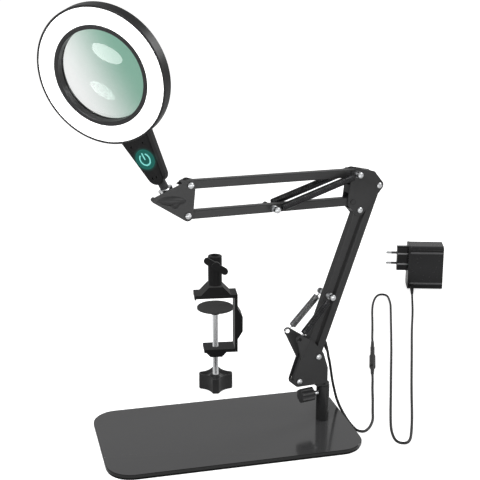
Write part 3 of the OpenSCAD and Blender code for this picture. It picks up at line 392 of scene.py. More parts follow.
def glass_with_painted_reflection(name, near, far, axis, low, high):
    """Clear glass with a painted reflection of green scenery, which deepens along an axis of the
    ring:
    the share is P . axis between two places, eased."""
    s = Sheet(name)
    along = s.vector("DOT_PRODUCT", s.place, axis).outputs["Value"]
    share = s.ranged(along, 0, 1, low, high, "SMOOTHSTEP")
    s.put("Base Color", s.toned(share, near, far))
    s.put("Roughness", 0.0)
    s.put("Transmission Weight", 1.0)
    s.put("IOR", 1.46)


# Light behind the button, painted as a glow where it reaches the cover: share of its reach, and
# level
GLOW_REACH = 0.018
GLOW_STOPS = [(0.0, 0.75), (0.2, 0.7), (0.36, 1.15), (0.48, 1.0), (0.6, 0.95), (0.645, 1.3),
              (0.685, 0.55), (0.74, 0.2), (0.86, 0.0)]


def glow_rings(s, glow, centre):
    """Light from behind the button: rings about the centre, as a ramp of the distance
    that is pale under the symbol, has a fine line at the rim and fades on the cover, where it is
    a painted glow."""
    away = s.vector("DISTANCE", s.place, centre).outputs["Value"]
    share = s.ranged(away, 0, 1, 0, GLOW_REACH)
    s.put("Emission Color", s.ramp(share, GLOW_STOPS, glow, "EASE"))
    s.put("Emission Strength", 1.0)


def lit_button(name, colour, glow, centre):
    """Touch plastic with a soft cloud in its roughness, lit from behind."""
    s = Sheet(name)
    glow_rings(s, glow, centre)
    cloud = s.noise(300, 2.0)
    s.put("Base Color", s.toned(s.ranged(cloud, 0, 1), *tones(colour, 0.06)))
    s.put("Roughness", s.ranged(cloud, 0.36, 0.44))
    s.put("Specular IOR Level", 0.15)


# Painted light and shade on the adaptor's case: share of its height, and level
CASE_PAINTED_LIGHT_STOPS = [(0.0, 2.6), (0.03, 2.2), (0.055, 0.3), (0.115, 0.3), (0.16, 1.0), (0.5, 1.5),
              (0.84, 1.1), (0.885, 0.3), (0.945, 0.3), (0.97, 2.2), (1.0, 2.6)]


def painted_light_bands(name, colour, high):
    """Gloss plastic of the adaptor's case with painted light and shade: painted highlights at
    the top and bottom edges, a painted dark band inside each, and a lighter middle; the tone is
    a ramp of the height."""
    s = Sheet(name)
    share = s.ranged(s.height(s.place), 0, 1, 0, high)
    s.put("Base Color", s.ramp(share, CASE_PAINTED_LIGHT_STOPS, colour))
    fine = s.noise(180, 3.0, 0.55)
    s.put("Roughness", s.ranged(fine, 0.24, 0.28))
    s.put("Specular IOR Level", 0.3)
    s.bumped(fine, 0.00002, 0.03)


# Stretch of the turning marks on bright steel
STEEL_GRAIN = (1, 1, 6)


def part_painted(name, steel, paint, centre, axis, reach):
    """Bright steel, with paint on the screw whose axis is given: the share of paint is a
    step of |(P - centre) x axis|, the distance from that axis."""
    s = Sheet(name)
    off = s.vector("SUBTRACT", s.place, centre).outputs["Vector"]
    arm = s.vector("CROSS_PRODUCT", off, axis).outputs["Vector"]
    away = s.vector("LENGTH", arm).outputs["Value"]
    bare = s.ranged(away, 0, 1, reach, reach * 1.02)
    fine = s.noise(700, 3.0, 0.55, s.stretched(STEEL_GRAIN))
    s.put("Base Color", s.toned(bare, paint, steel))
    s.put("Metallic", bare)
    s.put("Roughness", s.ranged(fine, 0.2, 0.27))
    s.put("Specular IOR Level", 0.25)
    s.bumped(fine, 0.00004, 0.3)


def dressed(piece, finish):
    """Gives a piece one finish."""
    piece.data.materials.clear()
    piece.data.materials.append(FINISH[finish])
    return piece


def settled(piece, finish, body, slot, *nodes):
    """Finish, slot (not used), CAD nodes that the piece stands for, and the body that carries
    it.
    """
    dressed(piece, finish)
    if nodes:
        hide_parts(*nodes)
    if body:
        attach(piece, body)
    return piece


# Settings

def colour_prop(name, what, value):
    return bpy.props.FloatVectorProperty(name=name, description=what, default=value,
                                         subtype="COLOR", size=3, min=0, max=1)


def length_prop(name, what, mm):
    return bpy.props.FloatProperty(name=name, description=what, default=mm * MM,
                                   unit="LENGTH", precision=5, min=0)


def power_prop(name, what, watts):
    return bpy.props.FloatProperty(name=name, description=what, default=watts, min=0,
                                   subtype="POWER", unit="POWER")


class FinishSettings(bpy.types.PropertyGroup):
    plate: colour_prop("Plate", "Gloss paint of the base plate", (0.038, 0.038, 0.039))
    paint: colour_prop("Arm paint", "Satin paint of bars and brackets", (0.024, 0.024, 0.0245))
    cast: colour_prop("Clamp paint", "Paint of the clamp's frame", (0.006, 0.006, 0.0062))
    moulding: colour_prop("Moulding", "Textured black plastic", (0.013, 0.013, 0.0135))
    gloss: colour_prop("Adaptor", "Glossy black plastic", (0.0105, 0.0105, 0.011))
    # The beads' lighter tone is a painted highlight; the pin sleeves share this trim.
    trim: colour_prop("Trim", "Beads on the adaptor", (0.06, 0.06, 0.062))
    # The plug's ridges are grey as a painted highlight.
    ridge: colour_prop("Ridge", "Ridges on the plug", (0.2, 0.2, 0.205))
    rubber: colour_prop("Rubber", "Pads and leads", (0.012, 0.012, 0.012))
    steel: colour_prop("Steel", "Bright screws and pins", (0.6, 0.61, 0.62))
    chrome: colour_prop("Chrome", "Collar and clamp screw", (0.84, 0.85, 0.86))
    # The far lower spring's lighter wire is a painted lit copy of the dark wire.
    wire: colour_prop("Bright wire", "Drawn wire of the far lower spring", (0.22, 0.22, 0.225))
    dark_wire: colour_prop("Dark wire", "Oiled wire of the other springs", (0.05, 0.05, 0.052))
    nylon: colour_prop("Nylon", "Bushes in the bars", (0.72, 0.71, 0.66))
    board: colour_prop("Board", "Circuit boards", (0.68, 0.69, 0.62))
    light: colour_prop("Light ring", "Diffuser over the lights", (0.95, 0.95, 0.95))
    glass: colour_prop("Lens", "Tint of the lens on its clear side", (0.815, 0.828, 0.822))
    # The green side of the lens is a painted reflection of green scenery.
    painted_green_reflection: colour_prop("Deep lens", "Tint of the lens on its green side",
                            (0.188, 0.362, 0.28))
    button: colour_prop("Button", "Touch button", (0.002, 0.02, 0.018))
    glow: colour_prop("Button light", "Light behind the button", (0.004, 0.085, 0.068))
    symbol: colour_prop("Symbol", "Lit power symbol", (0.11, 0.38, 0.35))


class SpringSettings(bpy.types.PropertyGroup):
    wire: length_prop("Wire", "Diameter of the wire", 1.3)
    coil: length_prop("Coil", "Outer diameter of the coil", 9)
    lower_turns: bpy.props.IntProperty(name="Lower turns", default=36, min=4,
                                       description="Full turns of each lower spring")
    upper_turns: bpy.props.IntProperty(name="Upper turns", default=75, min=4,
                                       description="Full turns of each upper spring")


class LeadSettings(bpy.types.PropertyGroup):
    diameter: length_prop("Lead", "Diameter of the lead", 3.5)


class ClampSettings(bpy.types.PropertyGroup):
    screw: length_prop("Screw", "Diameter of the clamp screw", 8)
    pitch: length_prop("Pitch", "Rise of the two-start thread in one turn", 3)
    knob: length_prop("Star knob", "Diameter over the knob's lobes", 46.4)


class StageSettings(bpy.types.PropertyGroup):
    floor: colour_prop("Floor", "Colour of the floor", (0.86, 0.86, 0.86))
    lens_mm: bpy.props.FloatProperty(name="Camera lens", default=81.6, min=10,
                                     description="Focal length on a 36 mm sensor, in mm")
    key: power_prop("Key light", "Power of the main soft light", 11.5)
    fill: power_prop("Fill light", "Power of the front side light", 10.0)
    side: power_prop("Side light", "Power of the light on the right", 20.0)
    front: power_prop("Front light", "Power of the low front light", 2.0)
    low: power_prop("Lens light", "Power of the small light in the lens", 0.4)


class MagnifierSettings(bpy.types.PropertyGroup):
    finish: bpy.props.PointerProperty(type=FinishSettings, name="Finishes",
                                      description="Colours of the materials")
    spring: bpy.props.PointerProperty(type=SpringSettings, name="Springs",
                                      description="Sizes of the springs")
    lead: bpy.props.PointerProperty(type=LeadSettings, name="Lead",
                                    description="Sizes of the lead")
    clamp: bpy.props.PointerProperty(type=ClampSettings, name="Clamp",
                                     description="Sizes of the table clamp")
    stage: bpy.props.PointerProperty(type=StageSettings, name="Stage",
                                     description="Floor, lights and camera")


def settings():
    return bpy.context.scene.magnifier


# Stage

def aimed(obj, place, target):
    """Puts a lamp or camera at a place, looking at a target."""
    obj.location = place
    obj.rotation_euler = (Vector(target) - Vector(place)).to_track_quat("-Z", "Y").to_euler()
    bpy.context.scene.collection.objects.link(obj)


def soft_light(name, place, target, size, power, high=None, roll=0):
    """Round soft light, or an oval one, rolled by an angle, where a height is given."""
    lamp = bpy.data.lights.new(name, "AREA")
    lamp.shape = "ELLIPSE" if high else "DISK"
    lamp.size = size
    lamp.size_y = high or size
    lamp.energy = power
    holder = bpy.data.objects.new(name, lamp)
    aimed(holder, place, target)
    holder.rotation_euler.rotate_axis("Z", math.radians(roll))


# Camera: place and direction
EYE = np.array([-0.2876, -1.224, 0.6275])
AHEAD = np.array([0.2332, 0.9305, -0.2823])
# Surround in gloss: height of the direction, as a share, and level
GLOSS_STOPS = [(0.0, 0.5), (0.3, 0.56), (0.45, 0.6), (0.66, 0.3), (1.0, 0.24)]
# Level of the surround as plain light
PLAIN_LIGHT = 0.42
# Floor: half its side, its depth under the lamp, its own light when seen directly and in a
# mirror, and the share of its colour that a mirror shows
FLOOR_HALF, FLOOR_Z = 8.0, -0.0004
FLOOR_SEEN, FLOOR_MIRRORED, FLOOR_DIM = 0.7, 0.12, 0.62


class MAGNIFIER_OT_stage(bpy.types.Operator):
    """Makes the camera, the pale floor, the white surround and the soft lights"""
    bl_idname = "magnifier.stage"
    bl_label = "Stage"

    def execute(self, context):
        stage = settings().stage
        scene = context.scene
        scene.view_settings.view_transform = "Standard"
        camera = bpy.data.cameras.new("camera")
        camera.lens, camera.sensor_width = stage.lens_mm, 36
        camera.clip_end = 50
        holder = bpy.data.objects.new("camera", camera)
        aimed(holder, EYE.tolist(), (EYE + AHEAD).tolist())
        scene.camera = holder
        self.surround(scene)
        self.floor(stage)
        soft_light("key", (-0.66, -0.68, 1.0), (-0.02, 0.0, 0.25), 0.45, stage.key)
        soft_light("fill", (1.9, -1.1, 1.3), (0.1, 0.1, 0.2), 1.2, stage.fill)
        soft_light("side", (2.0, 0.75, 1.45), (0.0, 0.0, 0.35), 1.0, stage.side)
        soft_light("front", (0.42, -0.85, 0.1), (0.0, 0.0, 0.3), 0.7, stage.front, 0.4)
        soft_light("low", (-0.917, -0.340, 0.1275), (-0.143, -0.03, 0.465), 0.2, stage.low,
                   0.09, -30)
        return {"FINISHED"}

    def surround(self, scene):
        """White for what is seen directly or through glass; in gloss, pale round
        the horizon and darker overhead, as in a studio; a plain grey light for the rest."""
        world = bpy.data.worlds.new("surround")
        world.use_nodes = True
        scene.world = world
        s = NodeSheet(world.node_tree)
        path = s.add("ShaderNodeLightPath")
        direction = s.add("ShaderNodeTexCoord").outputs["Generated"]
        studio = s.ramp(s.height(direction), GLOSS_STOPS)
        gloss = s.add("ShaderNodeMix", {"Factor": path.outputs["Is Glossy Ray"],
                                        "A": PLAIN_LIGHT, "B": studio},
                      data_type="FLOAT").outputs["Result"]
        level = s.add("ShaderNodeMix", {"Factor": s.clear_view(path), "A": gloss, "B": 1.0},
                      data_type="FLOAT").outputs["Result"]
        glow = s.nodes["Background"]
        s.feed(glow.inputs["Color"], (1, 1, 1, 1))
        s.feed(glow.inputs["Strength"], level)

    def floor(self, stage):
        """Flat square under the lamp, lit a little by itself where the camera sees it, and
        dimmer in a mirror: mirrored = glossy ray - clear view, not below 0."""
        x, y = np.meshgrid([-FLOOR_HALF, FLOOR_HALF], [-FLOOR_HALF, FLOOR_HALF])
        points = np.stack([x, y, np.full_like(x, FLOOR_Z)], -1)
        sheet = grid_piece("floor", points, wrap_round=False, capped=False)
        sheet.data.flip_normals()
        s = Sheet("floor_paper")
        path = s.add("ShaderNodeLightPath")
        clear = s.clear_view(path)
        mirrored = s.add("ShaderNodeMath", {0: path.outputs["Is Glossy Ray"], 1: clear},
                         operation="SUBTRACT", use_clamp=True).outputs[0]
        tone = s.toned(s.ranged(s.noise(3, 2.0), 0, 1), *tones(tuple(stage.floor), 0.01))
        dim = s.vector("SCALE", tone)
        s.feed(dim.inputs["Scale"], s.ranged(mirrored, 1, FLOOR_DIM, 0, 1))
        s.put("Base Color", dim.outputs["Vector"])
        s.put("Roughness", 0.9)
        s.put("Specular IOR Level", 0.0)
        seen = s.ranged(clear, 0.0, FLOOR_SEEN, 0, 1)
        level = s.add("ShaderNodeMath", {0: mirrored, 1: FLOOR_MIRRORED, 2: seen},
                      operation="MULTIPLY_ADD").outputs[0]
        s.put("Emission Color", (1, 1, 1, 1))
        s.put("Emission Strength", level)
        dressed(sheet, "floor_paper")


# Finishes on the solid nodes

NODE_FINISH = {
    "pad_rubber": ["base_pad"],
    "pale_rubber": ["clamp_pad"],
    "plate_paint": ["base_plate"],
    "post_paint": ["post"],
    "arm_paint": ["base_bracket", "lower_rear_bar", "lower_front_bar",
                  "upper_top_bar", "upper_bottom_bar", "elbow_bracket", "head_bracket",
                  "nose_spacer", "swivel_pin"],
    "cast_paint": ["clamp_column", "clamp_frame", "wing_screw"],
    "bright_steel": ["post_screw", "thumb_stud", "base_pivots", "base_pivot_nuts",
                     "lower_spring_pin", "elbow_bolt", "elbow_nuts", "upper_spring_pin",
                     "head_pivots", "head_pivot_nuts", "ball_stud", "mains_pins"],
    "elbow_screws": ["elbow_pivots"],
    "black_screw": ["handle_screws"],
    "chrome": ["neck_collar", "clamp_screw"],
    "painted_lit_wire": ["lower_springs"],
    "dark_wire": ["upper_springs"],
    "nylon": ["lower_rear_bushes", "lower_front_bushes", "upper_top_bushes",
              "upper_bottom_bushes"],
    "cover_plastic": ["handle_cover"],
    "shell_plastic": ["rear_shell"],
    "textured_plastic": ["lens_bezel", "star_knob", "neck_rod", "lead_gland"],
    "knob_plastic": ["thumb_knob"],
    "case_plastic_painted_bands": ["adaptor_case"],
    "gloss_plastic": ["adaptor_plug"],
    "light_ring": ["diffuser"],
    "board": ["led_board", "touch_board"],
    "lens_glass": ["lens"],
    "button_teal": ["touch_button"],
    "lead_rubber": ["lamp_lead", "lead_socket", "lead_plug", "adaptor_lead",
                    "adaptor_relief"],
}


# Pieces of the spare clamp, which the plate doesn't mirror
CLAMP_NODES = ("clamp_column", "clamp_frame", "wing_screw", "clamp_pad")
# Painted shade on the upright faces of the plate, reach of the painted elbow screw, and the
# places from the lens's middle between which its painted green reflection deepens
PLATE_SIDE_SHADE = (0.003, 0.003, 0.003)
PAINTED_REACH = 0.007
REFLECTION_PAINT_FROM, REFLECTION_PAINT_TO = -0.05, 0.037


class MAGNIFIER_OT_finishes(bpy.types.Operator):
    """Makes the finishes and gives each solid node its own"""
    bl_idname = "magnifier.finishes"
    bl_label = "Finishes"

    def execute(self, context):
        c = settings().finish
        across = RING[:3, 0]
        button = placed([BUTTON], RING)[0]
        lens = float(across @ RING[:3, 3]) * MM
        # base pad: 0.3 of the rubber tone, its own black and partly painted shade under the
        # plate's edge
        grained("pad_rubber", shaded(c.rubber, 0.3), 0.75, 900, 0.0003, patch=30, specular=0.1)
        grained("pale_rubber", shaded(c.rubber, 1.6), 0.6, 900, 0.0002, patch=30)
        # base plate: gloss paint, with painted shade on its upright faces
        plate_paint("plate_paint", c.plate, PLATE_SIDE_SHADE)
        grained("arm_paint", c.paint, 0.36, 1500, 0.00008, strength=0.2, specular=0.25)
        grained("post_paint", shaded(c.paint, 0.6), 0.22, 900, 0.00005, strength=0.1,
                specular=0.4)
        grained("cast_paint", c.cast, 0.4, 900, 0.0001, strength=0.3, specular=0.15)
        grained("bright_steel", c.steel, 0.3, 700, 0.00004, 1.0, 0.06, STEEL_GRAIN)
        part_painted("elbow_screws", c.steel, c.paint, anchor("upper_bottom_turn") * MM,
                     ARM[:3, 1], PAINTED_REACH)
        grained("black_screw", c.gloss, 0.3, 700, 0.00004)
        grained("chrome", c.chrome, 0.08, 300, 0.00002, 1.0, 0.03, strength=0.1)
        # far lower spring: the same wire made lighter, painted light
        grained("painted_lit_wire", c.wire, 0.28, 900, 0.00004, 1.0, 0.15, patch=120)
        grained("dark_wire", c.dark_wire, 0.3, 900, 0.00004, 1.0, 0.15, patch=120)
        grained("nylon", c.nylon, 0.5, 600, 0.00008, spread=0.05)
        grained("textured_plastic", c.moulding, 0.42, 1900, 0.00012, strength=0.3,
                specular=0.3)
        grained("knob_plastic", shaded(c.moulding, 1.7), 0.4, 1900, 0.00012, strength=0.3,
                specular=0.4)
        grained("shell_plastic", c.moulding, 0.38, 1900, 0.0001, strength=0.25, specular=0.2)
        # the cover's glow round the button is painted light
        grained("cover_plastic", shaded(c.moulding, 0.42), 0.42, 1900, 0.00012, strength=0.3,
                specular=0.15, glow=tuple(c.glow), centre=button)
        grained("gloss_plastic", c.gloss, 0.16, 180, 0.00005, spread=0.05, strength=0.1,
                specular=0.25)
        # plug ridges: grey as a painted highlight
        grained("ridge_painted_highlight", c.ridge, 0.3, 180, 0.00005, spread=0.05, strength=0.1)
        # adaptor case: painted highlights, painted dark bands and a lighter middle, by height
        painted_light_bands("case_plastic_painted_bands", c.gloss, CASE_HIGH * MM)
        # bead tone is a painted highlight; the pin sleeves use it as their own trim
        grained("trim_and_painted_highlight", c.trim, 0.3, 180, 0.00005, spread=0.05, strength=0.1)
        grained("board", c.board, 0.5, 400, 0.00005, spread=0.06)
        grained("lead_rubber", c.rubber, 0.5, 1200, 0.00006, patch=25, specular=0.35)
        glowing("light_ring", c.light, (1, 1, 1), 0.9, 0.55)
        lit_button("button_teal", c.button, tuple(c.glow), button)
        glowing("symbol_light", c.symbol, tuple(c.symbol), 0.55, 0.4)
        # lens: painted reflection of green scenery, deepening across the ring
        glass_with_painted_reflection("lens_glass", c.glass, c.painted_green_reflection, across, lens + REFLECTION_PAINT_FROM,
                     lens + REFLECTION_PAINT_TO)
        for finish, nodes in NODE_FINISH.items():
            for node in nodes:
                dressed(frame["nodes"][node], finish)
        for node in CLAMP_NODES:
            frame["nodes"][node].visible_glossy = False
        return {"FINISHED"}


# Leads

# Routes of the two leads, as in the solid model
LEAD_START = [[133.523, 1.003, 102.706], [134.659, 1.255, 99.511]]
LAMP_ROUTE = [
    [136.5, 4.5, 94], [141, 12, 82], [145, 17, 67], [149, 22, 51], [153, 27, 38],
    [157, 31.5, 26], [160.5, 34.5, 16], [163.5, 34, 8], [165, 28, 3], [164.5, 18, 2],
    [163.5, 4, 2], [163, -12, 2], [163.5, -26, 2], [166, -35, 2], [171, -38.5, 2],
    [178, -35, 2], [187, -24, 2], [194, -12, 2], [202, 8, 2], [216, 45, 2], [230, 83, 2],
    [241, 112, 4]]
ADAPTOR_ROUTE = [
    [294, 253, 4], [302, 274, 2], [323, 329, 2], [346, 390, 2], [357, 415, 2],
    [367, 434, 2], [377, 448, 2], [384, 452.5, 2], [390, 451, 2], [393, 443, 2],
    [391, 430, 2], [385, 408, 2], [376, 383, 2], [341, 293, 2], [308, 209, 2],
    [275, 127, 2], [242, 45, 2], [213.5, -27, 2], [207, -46, 2], [203.5, -61, 2],
    [202.5, -71, 2], [205, -79, 2], [211.5, -81.5, 2], [219, -76, 2], [226, -64, 2],
    [233, -49, 2], [241, -31, 2], [270, 39, 2], [305, 123, 2], [340, 206, 2],
    [375, 289, 2], [410, 370, 2], [424.5, 406, 2.5], [432, 425, 4.2]]
# In-line connector: its direction, its start and the lengths of its halves
LINE = np.array([0.355, 0.935, 0])
SOCKET_FROM = np.array([246, 126, 4.5])
SOCKET_LEN, PLUG_LEN = 66, 57
# Strain relief of the adaptor: its distance from the case's end, how far it is sunk into the
# front, its height, turn and length
RELIEF_X, RELIEF_SUNK, RELIEF_Z = 7.7, 0.4, 5
RELIEF_YAW, RELIEF_LEN = -5, 36
# Distance between the points of a lead, and sides of its round section
LEAD_STEP, LEAD_SIDES = 2.4, 16
# Height at which the lead's tail, which follows the arm, meets the part that follows the
# post, and the height up to which the lead lies still
LEAD_PARTING, LEAD_LIFT = 0.064, 0.010


def lead_line(route, diameter):
    """Spline through the route in metres, kept just above the floor."""
    path = smooth_line(route, LEAD_STEP)
    path[:, 2] = np.maximum(path[:, 2], diameter / 2 / MM)
    return path * MM


class MAGNIFIER_OT_leads(bpy.types.Operator):
    """Makes the leads, from the arm to the connector and from there to the adaptor"""
    bl_idname = "magnifier.leads"
    bl_label = "Leads"

    def execute(self, context):
        d = settings().lead.diameter
        plug_to = SOCKET_FROM + (SOCKET_LEN + PLUG_LEN) * LINE
        foot = RELIEF_X - CASE_WIDE / 2, RELIEF_SUNK - CASE_DEEP / 2, RELIEF_Z
        relief = ADAPTOR @ moved(*foot) @ turned("z", RELIEF_YAW)
        relief_end = placed([[0, -RELIEF_LEN, 0]], relief)[0] / MM
        nodes = frame["nodes"]
        path = lead_line([*LEAD_START, *LAMP_ROUTE, SOCKET_FROM], d)
        parting = int(np.searchsorted(-path[:, 2], -LEAD_PARTING))
        tail, rest = path[:parting + 1], path[parting:]
        piece = self.lead("lamp_tail", tail, d, "lamp_lead", "object", [])
        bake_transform(piece)
        piece = self.lead("lamp_cord", rest, d, "lamp_lead", "connector",
                          [nodes["lead_socket"], nodes["lead_plug"]])
        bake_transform(piece)
        path = lead_line([plug_to, *ADAPTOR_ROUTE, relief_end], d)
        piece = self.lead("adaptor_cord", path, d, "adaptor_lead", "plug",
                          [nodes[k] for k in ("adaptor_relief", "adaptor_case",
                                              "adaptor_plug", "mains_pins")])
        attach(piece, "base")
        return {"FINISHED"}

    def lead(self, name, path, diameter, node, far_end, carried):
        """Round tube along the line, in the lead's finish, standing in for its CAD node."""
        piece = grid_piece(name, tube(path, diameter / 2, LEAD_SIDES))
        settled(piece, "lead_rubber", None, "cord", node)
        return piece


# Springs

# Hook hole of a horn in the arm's frame, its distance from the middle, and a spring's
HORN_HOOK, HORN_OUT, SPRING_OUT = (-44.5, 130.6), 15.0, 13.0
# Radii of the hooks, to the middle of the wire, on a horn and on a pin, and their legs
HORN_BEND, PIN_BEND, HOOK_LEG = 3.8, 3.2, 4.0
# Shares of a spring's length from one bracket's angle to the bar's, for the lower and upper
# springs
LOWER_TURN, UPPER_TURN = (0.0, 0.85), (0.0, 0.3)
WIRE_SIDES = 8


def crossing(node, out):
    """Place on a cross pin in the arm's frame: X and Z of its box's middle, and Y given."""
    x, _, z = (np.linalg.inv(ARM) @ [*middle(node), 1])[:3]
    return x, out, z


def hook(centre, radius, along, side, turn=300, steps=26):
    """Arc about a pin: centre + r (cos a along + sin a side), from 0 to the turn."""
    a = np.radians(np.linspace(0, turn, steps))[:, None]
    return centre + radius * (np.cos(a) * along + np.sin(a) * side)


def spring_path(start, end, r_start, r_end, turns, coil_r):
    """Hook, leg, cone of one turn, coil, cone, leg, hook. The coil is
    start + z w + r(z) (cos 2 pi k e + sin 2 pi k f), with k turns evenly along w."""
    start, end = np.array(start, float), np.array(end, float)
    w = unit(end - start)
    e = unit(np.cross(w, [0, 1, 0]))
    f = np.cross(w, e)
    a, b = start + (r_start + HOOK_LEG) * w, end - (r_end + HOOK_LEG) * w
    k = np.linspace(0, turns + 2, 20 * (turns + 2) + 1)[:, None]
    r = coil_r * np.clip(np.minimum(k, turns + 2 - k), 0, 1)
    coil = a + (b - a) * k / (turns + 2) + r * (np.cos(2 * np.pi * k) * e
                                                + np.sin(2 * np.pi * k) * f)
    first = hook(start, r_start, w, e)[::-1]
    last = hook(end, r_end, -w, e)
    half_leg = w * HOOK_LEG * 0.5
    return np.concatenate([first, a[None] - half_leg, coil, b[None] + half_leg, last])


class MAGNIFIER_OT_springs(bpy.types.Operator):
    """Makes the two pairs of balance springs with their end hooks"""
    bl_idname = "magnifier.springs"
    bl_label = "Springs"

    def execute(self, context):
        s = settings().spring
        coil_r = (s.coil - s.wire) / 2 / MM
        wire_r = s.wire / 2
        for side, word in ((-1, "near"), (1, "far")):
            hooked = (HORN_HOOK[0], side * HORN_OUT, HORN_HOOK[1])
            pinned = crossing("lower_spring_pin", side * SPRING_OUT)
            self.spring("lower_spring_" + word, hooked, pinned, HORN_BEND, s.lower_turns,
                        coil_r, wire_r, "swivel", "lower_front", "lower_springs", LOWER_TURN)
            bolted = crossing("elbow_bolt", side * SPRING_OUT)
            pinned = crossing("upper_spring_pin", side * SPRING_OUT)
            self.spring("upper_spring_" + word, bolted, pinned, PIN_BEND, s.upper_turns,
                        coil_r, wire_r, "elbow", "upper_bottom", "upper_springs", UPPER_TURN)
        return {"FINISHED"}

    def spring(self, name, start, end, bend, turns, coil_r, wire_r, a, b, node, turn):
        """Wire along the spring's path, in its finish, standing in for its CAD node; bodies a
        and b and the turn are not used.
        """
        path = placed(spring_path(start, end, bend, PIN_BEND, turns, coil_r), ARM)
        piece = grid_piece(name, tube(path, wire_r, WIRE_SIDES))
        # the far lower spring takes the lighter wire, which is painted light
        finish = "painted_lit_wire" if name == "lower_spring_far" else "dark_wire"
        settled(piece, finish, None, "spring_steel", node)
        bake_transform(piece)


# Head

# Lens: its radius, the radius where a face meets the plane of its seat, the rise of a face
# above that plane, and the planes of the front and back seats
LENS_R, LENS_SEAT_R, LENS_RISE = 55, 52.7, 3.0
LENS_FRONT_Z, LENS_BACK_Z = -1.3, -4.5
# Power symbol: half width and height of its ring, half the ring's gap in degrees, ends of
# its stroke, half width and half thickness of its line, and its height over the button
SYMBOL_X, SYMBOL_Y, SYMBOL_GAP = 6.3, 7.0, 32
STROKE_FROM, STROKE_TO = -0.4, 8.0
LINE_HALF, LINE_THICK, SYMBOL_LIFT = 0.85, 0.16, 0.12


class MAGNIFIER_OT_head(bpy.types.Operator):
    """Makes the ground lens and the lit power symbol of the touch button"""
    bl_idname = "magnifier.head"
    bl_label = "Lens and button"

    def execute(self, context):
        """The lens is two spherical faces, z = seat +- (sqrt(R^2 - r^2) - R + rise), with a
        ground edge between them. R is (seat radius^2 + rise^2) / (2 rise)."""
        r = LENS_R * np.sin(np.linspace(0, np.pi / 2, 24))
        ball = (LENS_SEAT_R ** 2 + LENS_RISE ** 2) / (2 * LENS_RISE)
        dome = np.sqrt(ball ** 2 - r ** 2) - ball + LENS_RISE
        front = np.stack([r, LENS_FRONT_Z + dome], 1)
        back = np.stack([r, LENS_BACK_Z - dome], 1)
        lens = grid_piece("ground_lens", lathe(np.concatenate([back, front[::-1]]), 96, RING),
                          capped=False)
        settled(lens, "lens_glass", "head", "lens_glass", "lens")
        self.symbol()
        return {"FINISHED"}

    def symbol(self):
        """Power symbol: an open ring and a stroke, each a flat oval section, half width
        times cos q across and half thickness times sin q up, carried along a line."""
        centre = np.array(BUTTON) + [0, 0, SYMBOL_LIFT]
        a = np.radians(np.linspace(90 + SYMBOL_GAP, 450 - SYMBOL_GAP, 60))
        ring = centre + np.stack([SYMBOL_X * np.cos(a), SYMBOL_Y * np.sin(a), 0 * a], 1)
        y = np.linspace(STROKE_FROM, STROKE_TO, 12)
        stroke = centre + np.stack([0 * y, y, 0 * y], 1)
        q = np.linspace(0, 2 * np.pi, 16, endpoint=False)[None, :, None]
        for name, line in (("power_ring", ring), ("power_stroke", stroke)):
            t = unit(np.gradient(line, axis=0))
            across = np.stack([-t[:, 1], t[:, 0], 0 * t[:, 0]], 1)[:, None]
            section = LINE_HALF * np.cos(q) * across + LINE_THICK * np.sin(q) * [0, 0, 1]
            piece = grid_piece(name, placed(line[:, None] + section, RING))
            settled(piece, "symbol_light", "head", "button_teal")


# Table clamp

# Clamp screw: its ends, the stretch that is threaded, the fades of the thread at both ends,
# and the thread's depth
SCREW_FROM, SCREW_TO = 8, 118.5
THREAD_FROM, THREAD_TO, FADE_IN, FADE_OUT = 24, 116, 2, 3
THREAD_DEPTH = 0.05
# Star knob: turn of its lobes in degrees, place and radius of its hollows as shares of its
# diameter, softness of the lobes' corners, and wall of the cup
LOBE_TURN, HOLLOW_AT, HOLLOW_R = 40, 0.884, 0.547
LOBE_SOFT, CUP_WALL = 0.7, 1.8


